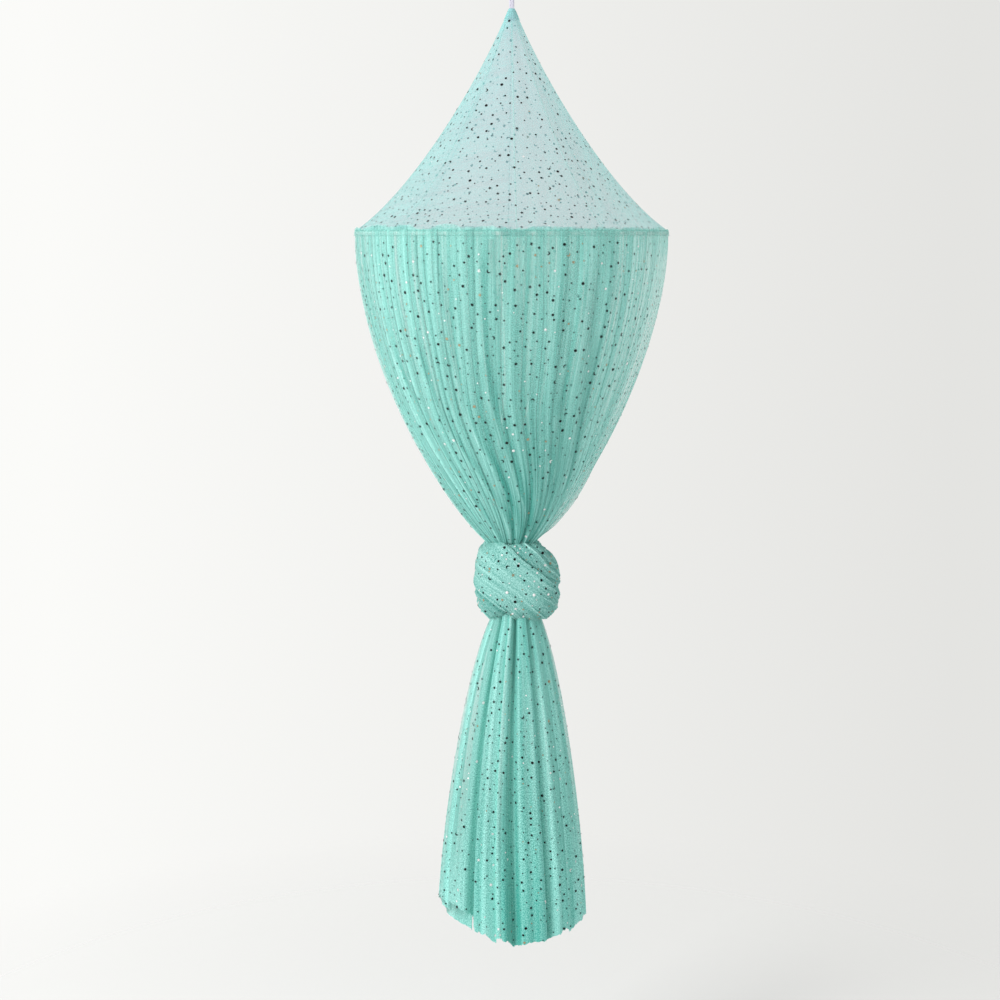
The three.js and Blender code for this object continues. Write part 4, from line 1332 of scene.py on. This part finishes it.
def knot_band_piece(scene):
    """The broad band of net wound once round the knot, with turned-in edges."""
    sizes = scene.canopy_knot
    rows = 170
    sunk, edge_drop, pleat_depth, ripple_depth, width = 0.0066, 0.0036, 0.0026, 0.0014, 0.110
    turn = np.linspace(-180, 180, sizes.columns, endpoint=False)[None, :]
    across = np.sin(np.linspace(-1, 1, rows) * np.pi / 2)[:, None]
    turn, across = np.broadcast_arrays(turn, across)
    latitude = mix(by_angle(turn, BAND_FOOT), by_angle(turn, BAND_TOP), (across + 1) / 2)
    way = knot_ways(sizes, turn, latitude)
    edge = np.abs(across)
    rolled = np.sqrt(np.clip(1 - ((edge - 0.955) / 0.045).clip(0, 1) ** 2, 0, 1))
    place = across * 40 + 2.4 * np.sin(np.radians(turn + 20)) * (1 - across**2)
    crease = pleats(place, 62, 1.5)
    smooth = swell(turn, 112, 95) * (1 - ease(edge, 0.70, 0.97))
    lower = swell(turn, 35, 60) * (1 - ease(np.abs(across + 0.45), 0.18, 0.5))
    gathered = np.clip(1.0 - smooth + 0.55 * lower, 0, 1)
    reach = knot_reach(sizes, way) - sunk + sizes.band_lift * rolled - edge_drop * (1 - rolled)
    rippled = ripple_depth * np.sin(np.radians(2 * turn + 70)) * (1 - edge**2)
    reach = reach + (pleat_depth * crease * gathered + rippled) * rolled
    # Painted light and shade on the band: painted highlights on its pleats and near its turned-in edges,
    # and painted shade on its right side and under those edges.
    lines = 0.36 * ease(crease, 0.60, 0.85) * gathered + 0.34 * np.exp(-(((edge - 0.93) / 0.025) ** 2))
    shaded = 0.32 - 0.16 * ease(np.cos(np.radians(turn)), 0.2, 0.9)
    ridge = shaded + (crease - 0.5) * gathered * 0.5 + lines - 0.8 * (1 - rolled)
    cloth_rows = (across[:, :1] + 1) * width / 2
    return knot_mesh(scene, "knot_band", "knot_wrap", way, reach, cloth_rows, ridge)


# ---------------------------------------------------------------- tail


# The tail's valleys: the angle, the share of the radius that each reaches in, how narrow it is, and how it
# leans.
TAIL_VALLEYS = (
    (-170, 0.42, 2.6, 0.2), (-151, 0.34, 3.4, -0.3), (-121, 0.40, 2.8, 0.3), (-97, 0.16, 3.6, -0.2),
    (-68, 0.05, 4.0, 0.3), (-37, 0.20, 5.0, -0.5), (-18, 0.05, 5.0, 0.4), (-4, 0.20, 3.4, 0.3),
    (31, 0.15, 5.0, -0.7), (53, 0.06, 5.0, 0.2), (76, 0.10, 4.4, 0.2), (99, 0.30, 3.0, -0.3),
    (122, 0.30, 3.2, 0.3), (146, 0.42, 2.8, -0.2), (168, 0.34, 3.2, 0.2),
)

# The hem's height from the hoop, by angle.
HEM_LINE = (
    (-180, -1.405), (-150, -1.412), (-122, -1.398), (-100, -1.350), (-80, -1.312), (-56, -1.308),
    (-38, -1.318), (-30, -1.352), (-15, -1.360), (0, -1.371), (16, -1.369), (32, -1.364), (50, -1.356),
    (80, -1.354), (105, -1.372), (130, -1.388), (155, -1.398),
)

# How dense the tail's net is, by angle.
TAIL_NETTING = (
    (-180, 1.0), (-120, 0.9), (-85, 0.60), (-58, 0.58), (-46, 0.8), (-40, 1.4), (-27, 1.5), (-21, 1.15),
    (-8, 1.15), (-2, 1.5), (22, 1.5), (34, 1.3), (48, 0.95), (80, 0.8),
)

# Painted light and shade on the tail's net, by angle: its dark bands stand in for the shade of folds that
# are modelled shallow.
TAIL_PAINTED_LIGHT = (
    (-180, 0.48), (-110, 0.58), (-75, 0.66), (-43, 0.62), (-38, 0.20), (-28, 0.24), (-23, 0.48),
    (-13, 0.46), (-7, 0.18), (2, 0.18), (6, 0.16), (22, 0.14), (29, 0.26), (33, 0.42), (60, 0.42),
    (110, 0.42),
)


def tail_outline(sizes, level):
    """(radius, share of the way down) of the tail at levels from the knot, 0, to the hem, 1."""
    points = [
        (sizes.top_radius, 0.0),
        (0.62 * sizes.hem_radius, 0.15),
        (0.93 * sizes.hem_radius, 0.62),
        (sizes.hem_radius, 1.0),
    ]
    return cubic(points, level)


def tail_folds(sizes, number):
    """Every column of a panel: its angle, its depth in a valley, from 0 to 1, and that valley's numbers."""
    first = OPENING_ANGLE + 90.0 * (number - 1) - 8
    valleys = sorted(TAIL_VALLEYS, key=lambda row: (row[0] - first) % 360.0)
    count = sum((row[0] - first) % 360.0 < 90.0 for row in valleys) + 1
    inside = valleys[:count]
    centres = [(row[0] - first) % 360.0 + first for row in inside]
    step = np.linspace(0, 1, sizes.fold_steps + 1)[:-1]
    within = step - 0.8 * np.sin(WHOLE_TURN * step) / WHOLE_TURN
    depth = np.abs(np.cos(np.pi * within))
    columns = []
    for near, far, one, other in zip(centres, centres[1:], inside, inside[1:]):
        nearest = [np.where(within < 0.5, a, b) for a, b in zip(one[1:], other[1:])]
        columns.append([near + (far - near) * within, depth, *nearest])
    return np.concatenate(columns, axis=1)[:, None, :]


def tail_panel(scene, number):
    """One of the tail's panels, whose narrow valleys reach deep into the bunch."""
    sizes = scene.canopy_tail
    fine_depth, broad_depth, bulge_depth, nesting = 0.0005, 0.0014, 0.004, 0.0025
    fine_hem, broad_hem, valley_drop, squeeze = 0.0020, 0.0022, 0.014, 0.86
    knot_bottom = knot_heights(scene)[1]
    level = np.linspace(0, 1, sizes.rows + 1)[:, None]
    degrees, depth, share, narrow, lean = tail_folds(sizes, number)
    valley = depth ** (2 * narrow * mix(0.75, 1.0, level))
    outline = tail_outline(sizes, level)
    radians = np.radians(degrees)
    sway = 0.03 * waves(level * 3.0 + radians, 70, 0.6, 1.4) * level
    fine = round_waves(radians, 75, 40, 80) * fine_depth + round_waves(radians, 76, 14, 30) * broad_depth
    reach_in = share * mix(1.5, 0.8, ease(level, 0.0, 0.45))
    radius = outline[..., 0] * (1 - reach_in * valley) + fine * ease(level, 0.0, 0.3)
    bulge = bulge_depth * np.sin(np.pi * np.clip(1 - depth, 0, 1)) * level
    radius = radius + bulge - nesting * (number % 2)
    ragged = fine_hem * round_waves(radians, 80, 120, 420) + broad_hem * round_waves(radians, 81, 30, 90)
    hem = HOOP_Z + by_angle(degrees, HEM_LINE) + ragged - valley_drop * valley
    height = mix(knot_bottom, hem, outline[..., 1])
    points = polar(radius, radians + sway + np.radians(5.0) * lean * valley, height)
    points[..., 0] += mix(sizes.top_shift, sizes.hem_shift, level)
    points[..., 1] *= mix(1.0, 0.9, level)
    tucked = points[:1].copy()
    tucked[..., 0] = (tucked[..., 0] - sizes.top_shift) * squeeze + sizes.top_shift
    tucked[..., 1] *= squeeze
    tucked[..., 2] = knot_bottom + sizes.tuck
    points = np.concatenate([tucked, points])
    across = distances(points[len(points) // 2])[None, :]
    along = np.concatenate([[-sizes.tuck], level[:, 0] * sizes.length])[:, None]
    cloth = pairs(across + number * 2.0, along)
    low_front = swell(degrees, 22, 62) * ease(level, 0.7, 1.0)
    netting = by_angle(degrees, TAIL_NETTING) * (1.1 - 0.15 * ease(level, 0.0, 0.5))
    netting = netting + 0.9 * valley + 0.8 * low_front
    rear = ease(np.abs(around(degrees, 0)), 60, 105)
    netting = netting + (0.5 + 0.35 * rear) * ease(level, 0.55 - 0.25 * rear, 1.0)
    # Painted light and shade on the tail: painted highlights on the valleys' lips, painted shade down in
    # the valleys, and darker low on the front.
    lip = np.clip(share * 3, 0, 1) * np.exp(-(((valley - 0.12) / 0.07) ** 2))
    ridge = by_angle(degrees, TAIL_PAINTED_LIGHT) - 0.20 * np.clip(share * 2.6, 0, 1) * valley + 0.26 * lip
    ridge = np.clip(ridge + 0.03 * round_waves(radians, 77, 30, 90) - 0.16 * low_front, 0, 1)
    netting, ridge = (np.concatenate([value[:1], value]) for value in (netting, ridge))
    net = grid_mesh(f"tail_net_{number}", points, cloth, netting=netting, ridge=ridge)
    return dress(net, tail_net(scene), CANOPY, [f"tail_panel_{number}"])


# ---------------------------------------------------------------- foil dots


def foil_shape(kind):
    """A dot's outline on a circle of radius 1."""
    if kind == "star":
        turns = full_turn(10)
        reach = np.where(np.arange(10) % 2 == 0, 1.25, 0.52)
        return np.stack([reach * np.sin(turns), reach * np.cos(turns)], axis=-1)
    if kind == "moon":
        outer = np.linspace(0.9, WHOLE_TURN - 0.9, 9)
        inner = outer[1:-1][::-1]
        body = np.stack([np.cos(outer), np.sin(outer)], axis=-1)
        bite = np.stack([0.42 + 0.72 * np.cos(inner), 0.80 * np.sin(inner)], axis=-1)
        return np.concatenate([body, bite]) * 1.15
    turns = full_turn(8)
    return np.stack([np.cos(turns), np.sin(turns)], axis=-1)


# How foil lies on each kind of net: the gap between dots, the seeds of their places and of their looks, the
# shares of dots painted as dark reflections, gold dots and dots painted as glints, and the radii that their
# three sizes lie between.
FOIL = {
    "crown": (0.0215, 4, 5, (0.93, 0.04, 0.03), (0.0012, 0.0017, 0.0024, 0.0030)),
    "skirt": (0.0195, 20, 21, (0.80, 0.10, 0.10), (0.0011, 0.0016, 0.0023, 0.0030)),
    "knot": (0.0150, 40, 41, (0.50, 0.18, 0.32), (0.0012, 0.0017, 0.0024, 0.0030)),
    "tail": (0.0155, 50, 51, (0.82, 0.06, 0.12), (0.0011, 0.0016, 0.0023, 0.0030)),
}

# The share of the dots that are stars, the share that are moons, and the shares of the three sizes.
STARS, MOONS = 0.05, 0.03
SIZE_SHARES = (0.60, 0.30, 0.10)


def struck_places(pieces, middle_x, low, high, gap, rng):
    """Evenly spread places on the pieces as seen from all round, some of them on the layers further in."""
    outside, past_layer, layer_shares = 0.6, 0.0006, (0.82, 0.10, 0.05, 0.03)
    corners, faces = [], []
    for piece in pieces:
        places = np.empty(3 * len(piece.data.vertices))
        piece.data.vertices.foreach_get("co", places)
        faces.extend([v + len(corners) for v in face.vertices] for face in piece.data.polygons)
        corners.extend(places.reshape(-1, 3).tolist())
    tree = BVHTree.FromPolygons(corners, faces)
    places, normals = [], []
    height, row = low, 0
    while height < high:
        reach, slope = gap, 1.0
        place, normal, _, far = tree.ray_cast(Vector((middle_x, -outside, height)), Vector((0.0, 1.0, 0.0)))
        if place is not None:
            reach, slope = outside - far, math.hypot(normal.x, normal.y)
        drop = 0.87 * gap * max(slope, 0.4)
        count = max(1, int(WHOLE_TURN * reach / gap))
        for number in range(count):
            turn = WHOLE_TURN * (number + 0.5 * (row % 2) + rng.uniform(-0.32, 0.32)) / count
            inward = Vector((-math.sin(turn), math.cos(turn), 0.0))
            start = Vector((middle_x, 0.0, height + rng.uniform(-0.36, 0.36) * drop)) - outside * inward
            for _ in range(1 + int(rng.choice(4, p=layer_shares))):
                place, normal, _, _ = tree.ray_cast(start, inward, outside)
                if place is None:
                    break
                start = place + past_layer * inward
            if place is not None:
                places.append(place)
                normals.append(-normal if normal.dot(inward) > 0 else normal)
        height, row = height + drop, row + 1
    return np.array(places), np.array(normals)


def foil_piece(scene, word, pieces, low, high, middle_x=0.0):
    """Foil dots over the pieces between two heights, laid just above the net."""
    above = 0.0007
    gap, place_seed, look_seed, shares, sizes = FOIL[word]
    places, normals = struck_places(pieces, middle_x, low, high, gap, np.random.default_rng(place_seed))
    rng = np.random.default_rng(look_seed)
    corners, faces, kinds = [], [], []
    for place, normal in zip(places, normals):
        side = np.cross(normal, (0.3, 0.1, 1.0))
        side /= np.linalg.norm(side)
        up = np.cross(side, normal)
        pick = rng.uniform()
        shape = foil_shape("star" if pick < STARS else "moon" if pick < STARS + MOONS else "round")
        size = int(rng.choice(3, p=SIZE_SHARES))
        radius = 1.3 * sizes[2] if pick < STARS + MOONS else rng.uniform(sizes[size], sizes[size + 1])
        spin = rng.uniform(0, WHOLE_TURN)
        turn = np.array([[math.cos(spin), math.sin(spin)], [-math.sin(spin), math.cos(spin)]])
        turned = shape @ turn * radius
        faces.append(list(range(len(corners), len(corners) + len(shape))))
        corners.extend(place + turned[:, :1] * side + turned[:, 1:] * up + normal * above)
        kinds.append(int(rng.choice(3, p=shares)))
    foil = faces_piece(f"foil_on_{word}", np.array(corners), faces, kinds, smooth=False)
    colours = scene.canopy_colours
    # The dots' kinds: painted dark reflection, gold, painted glint.
    materials = [
        material("Dark foil", foil_finish, colours.foil_painted_dark_reflection, 0.2, 0.45, shine=0.15),
        material("Gold foil", foil_finish, colours.foil_gold, 0.4, 0.35),
        material("Pale foil", foil_finish, colours.foil_painted_glint, 0.1, 0.3),
    ]
    return dress(foil, materials)


# ---------------------------------------------------------------- operators


class BuildPiece:
    """What all the canopy's operators share."""

    bl_options = {"REGISTER", "UNDO"}


class CANOPY_OT_fixture(BuildPiece, bpy.types.Operator):
    """Turn the ceiling plate and its screws, and bend the hook"""

    bl_idname = "canopy.fixture"
    bl_label = "Ceiling fixture"

    def execute(self, context):
        plate_piece(context.scene)
        for side in (-1, 1):
            screw_piece(context.scene, side)
        hook_piece(context.scene)
        return {"FINISHED"}


class CANOPY_OT_ring(BuildPiece, bpy.types.Operator):
    """Weld the hanging ring"""

    bl_idname = "canopy.ring"
    bl_label = "Hanging ring"

    def execute(self, context):
        ring_piece(context.scene)
        return {"FINISHED"}


class CANOPY_OT_strap(BuildPiece, bpy.types.Operator):
    """Weave the hanging strap and sew it to itself"""

    bl_idname = "canopy.strap"
    bl_label = "Hanging strap"

    def execute(self, context):
        strap_piece(context.scene)
        return {"FINISHED"}


class CANOPY_OT_crown(BuildPiece, bpy.types.Operator):
    """Stretch the sheer cone, with its seams and its bound top"""

    bl_idname = "canopy.crown"
    bl_label = "Crown"

    def execute(self, context):
        scene = context.scene
        net = crown_piece(scene)
        tapes = seam_pieces(scene)
        apex_piece(scene)
        foil = foil_piece(scene, "crown", [net], GORE_LOW.z + 0.002, GORE_HIGH.z - 0.004)
        return {"FINISHED"}


class CANOPY_OT_hoop(BuildPiece, bpy.types.Operator):
    """Finish the hoop's rods and sew the channel round them"""

    bl_idname = "canopy.hoop"
    bl_label = "Hoop and channel"

    def execute(self, context):
        hoop_pieces(context.scene)
        channel_piece(context.scene)
        return {"FINISHED"}


class CANOPY_OT_skirt(BuildPiece, bpy.types.Operator):
    """Gather the skirt's four panels and the frill above them"""

    bl_idname = "canopy.skirt"
    bl_label = "Skirt"

    def execute(self, context):
        scene = context.scene
        frill = frill_piece(scene)
        nets = [skirt_panel(scene, number) for number in PANELS]
        foil = foil_piece(scene, "skirt", nets, knot_heights(scene)[0] + 0.004, CHANNEL_LOW.z)
        return {"FINISHED"}


class CANOPY_OT_knot(BuildPiece, bpy.types.Operator):
    """Tie the big knot: the net that runs through it and the band wound round it"""

    bl_idname = "canopy.knot"
    bl_label = "Knot"

    def execute(self, context):
        scene = context.scene
        pieces = [knot_core_piece(scene), knot_band_piece(scene)]
        high, low = knot_heights(scene)
        foil_piece(scene, "knot", pieces, low, high, scene.canopy_knot.shift)
        return {"FINISHED"}


class CANOPY_OT_tail(BuildPiece, bpy.types.Operator):
    """Hang the tail's four panels below the knot"""

    bl_idname = "canopy.tail"
    bl_label = "Tail"

    def execute(self, context):
        scene = context.scene
        nets = [tail_panel(scene, number) for number in PANELS]
        high = knot_heights(scene)[1]
        foil = foil_piece(scene, "tail", nets, high - 0.64, high, scene.canopy_tail.top_shift)
        return {"FINISHED"}


class CANOPY_OT_stage(BuildPiece, bpy.types.Operator):
    """Set up the camera, the lights, the background and the floor"""

    bl_idname = "canopy.stage"
    bl_label = "Stage"

    def execute(self, context):
        scene = context.scene
        stage_camera(scene)
        stage_light(scene)
        stage_floor(scene)
        return {"FINISHED"}


# ---------------------------------------------------------------- stage


def stage_camera(scene):
    """The camera at the hoop's height, looking a little down."""
    focal_length, sensor, distance, sideways, look_down = 65.23, 36.0, 3.5, -0.022, 8.3826
    lens = bpy.data.cameras.new("Camera")
    lens.lens, lens.sensor_width = focal_length, sensor
    lens.clip_end = 60.0
    camera = bpy.data.objects.new("Camera", lens)
    camera.location = (sideways, -distance, HOOP_Z)
    camera.rotation_euler = (math.radians(90.0 - look_down), 0.0, 0.0)
    scene.collection.objects.link(camera)
    scene.camera = camera


def area_light(scene, name, place, target, size, power):
    lamp = bpy.data.lights.new(name, "AREA")
    lamp.shape, lamp.size, lamp.size_y = "RECTANGLE", size[0], size[1]
    lamp.energy = power
    light = bpy.data.objects.new(name, lamp)
    light.location = place
    light.rotation_euler = (Vector(target) - Vector(place)).to_track_quat("-Z", "Y").to_euler()
    scene.collection.objects.link(light)


def stage_light(scene):
    """Even light from all round, a key light, and a background for the camera, reflections and the net."""
    sizes = scene.canopy_stage
    world = bpy.data.worlds.new("Studio")
    scene.world = world
    world.use_nodes = True
    tree = world.node_tree
    tree.nodes.clear()
    # Painted light on the background seen by the camera: lighter on the left, towards the key light, darker
    # on the right.
    place = add(tree, "ShaderNodeTexCoord").outputs["Generated"]
    across = add(tree, "ShaderNodeSeparateXYZ", {"Vector": place}).outputs["X"]
    share = remap(tree, across, -0.24, 0.24)
    wall = blend_colour(tree, share, opaque(sizes.wall_left), opaque(sizes.wall_right))
    seen = add(tree, "ShaderNodeBackground", {"Color": wall, "Strength": 1.0}).outputs[0]
    even = {"Color": (1.0, 1.0, 1.0, 1.0), "Strength": sizes.fill}
    even = add(tree, "ShaderNodeBackground", even).outputs[0]
    rays = add(tree, "ShaderNodeLightPath").outputs
    direct = maths(tree, "MAXIMUM", rays["Is Camera Ray"], rays["Is Glossy Ray"])
    direct = maths(tree, "MAXIMUM", direct, rays["Is Transmission Ray"])
    both = add(tree, "ShaderNodeMixShader", {0: direct, 1: even, 2: seen}).outputs[0]
    add(tree, "ShaderNodeOutputWorld", {0: both})
    place, target, size = (-2.3, -2.4, HOOP_Z + 0.9), (0.0, 0.0, HOOP_Z - 0.4), (1.3, 1.8)
    area_light(scene, "Key", place, target, size, sizes.key)


def stage_floor(scene):
    radius, closest = 2.0, 0.0005
    rings = np.linspace(closest, radius, 24)[:, None]
    floor_z = PLATE_HIGH.z - scene.canopy_stage.floor_drop
    floor = grid_mesh("studio_floor", polar(rings, full_turn(96)[None, :], floor_z), looped=True)
    floor.data.materials.append(material("Studio floor", floor_finish))


# ---------------------------------------------------------------- panel and registration


OPERATORS = (
    CANOPY_OT_stage,
    CANOPY_OT_fixture,
    CANOPY_OT_ring,
    CANOPY_OT_strap,
    CANOPY_OT_crown,
    CANOPY_OT_hoop,
    CANOPY_OT_skirt,
    CANOPY_OT_knot,
    CANOPY_OT_tail,
)

GROUPS = {
    "canopy_colours": CanopyColours,
    "canopy_crown": CrownSizes,
    "canopy_skirt": SkirtSizes,
    "canopy_knot": KnotSizes,
    "canopy_tail": TailSizes,
    "canopy_stage": StageSizes,
}


class CANOPY_PT_panel(bpy.types.Panel):
    """The canopy's pieces, sizes and colours"""

    bl_idname = "CANOPY_PT_panel"
    bl_label = "Bed crown canopy"
    bl_space_type = "VIEW_3D"
    bl_region_type = "UI"
    bl_category = "Canopy"

    def draw(self, context):
        layout = self.layout
        for operator in OPERATORS:
            layout.operator(operator.bl_idname)
        for name, group in GROUPS.items():
            box = layout.box()
            box.label(text=group.__doc__.strip())
            for key in group.__annotations__:
                box.prop(getattr(context.scene, name), key)


def register():
    for made in (*GROUPS.values(), *OPERATORS, CANOPY_PT_panel):
        bpy.utils.register_class(made)
    for name, group in GROUPS.items():
        setattr(bpy.types.Scene, name, bpy.props.PointerProperty(type=group))


def unregister():
    for name in GROUPS:
        delattr(bpy.types.Scene, name)
    for made in (CANOPY_PT_panel, *OPERATORS, *GROUPS.values()):
        bpy.utils.unregister_class(made)


def main():
    register()
    scene = bpy.context.scene
    scene.view_settings.view_transform = "Standard"
    scene.cycles.transparent_max_bounces = 48
    for operator in OPERATORS:
        group, name = operator.bl_idname.split(".")
        getattr(getattr(bpy.ops, group), name)()


if __name__ == "__main__":
    main()
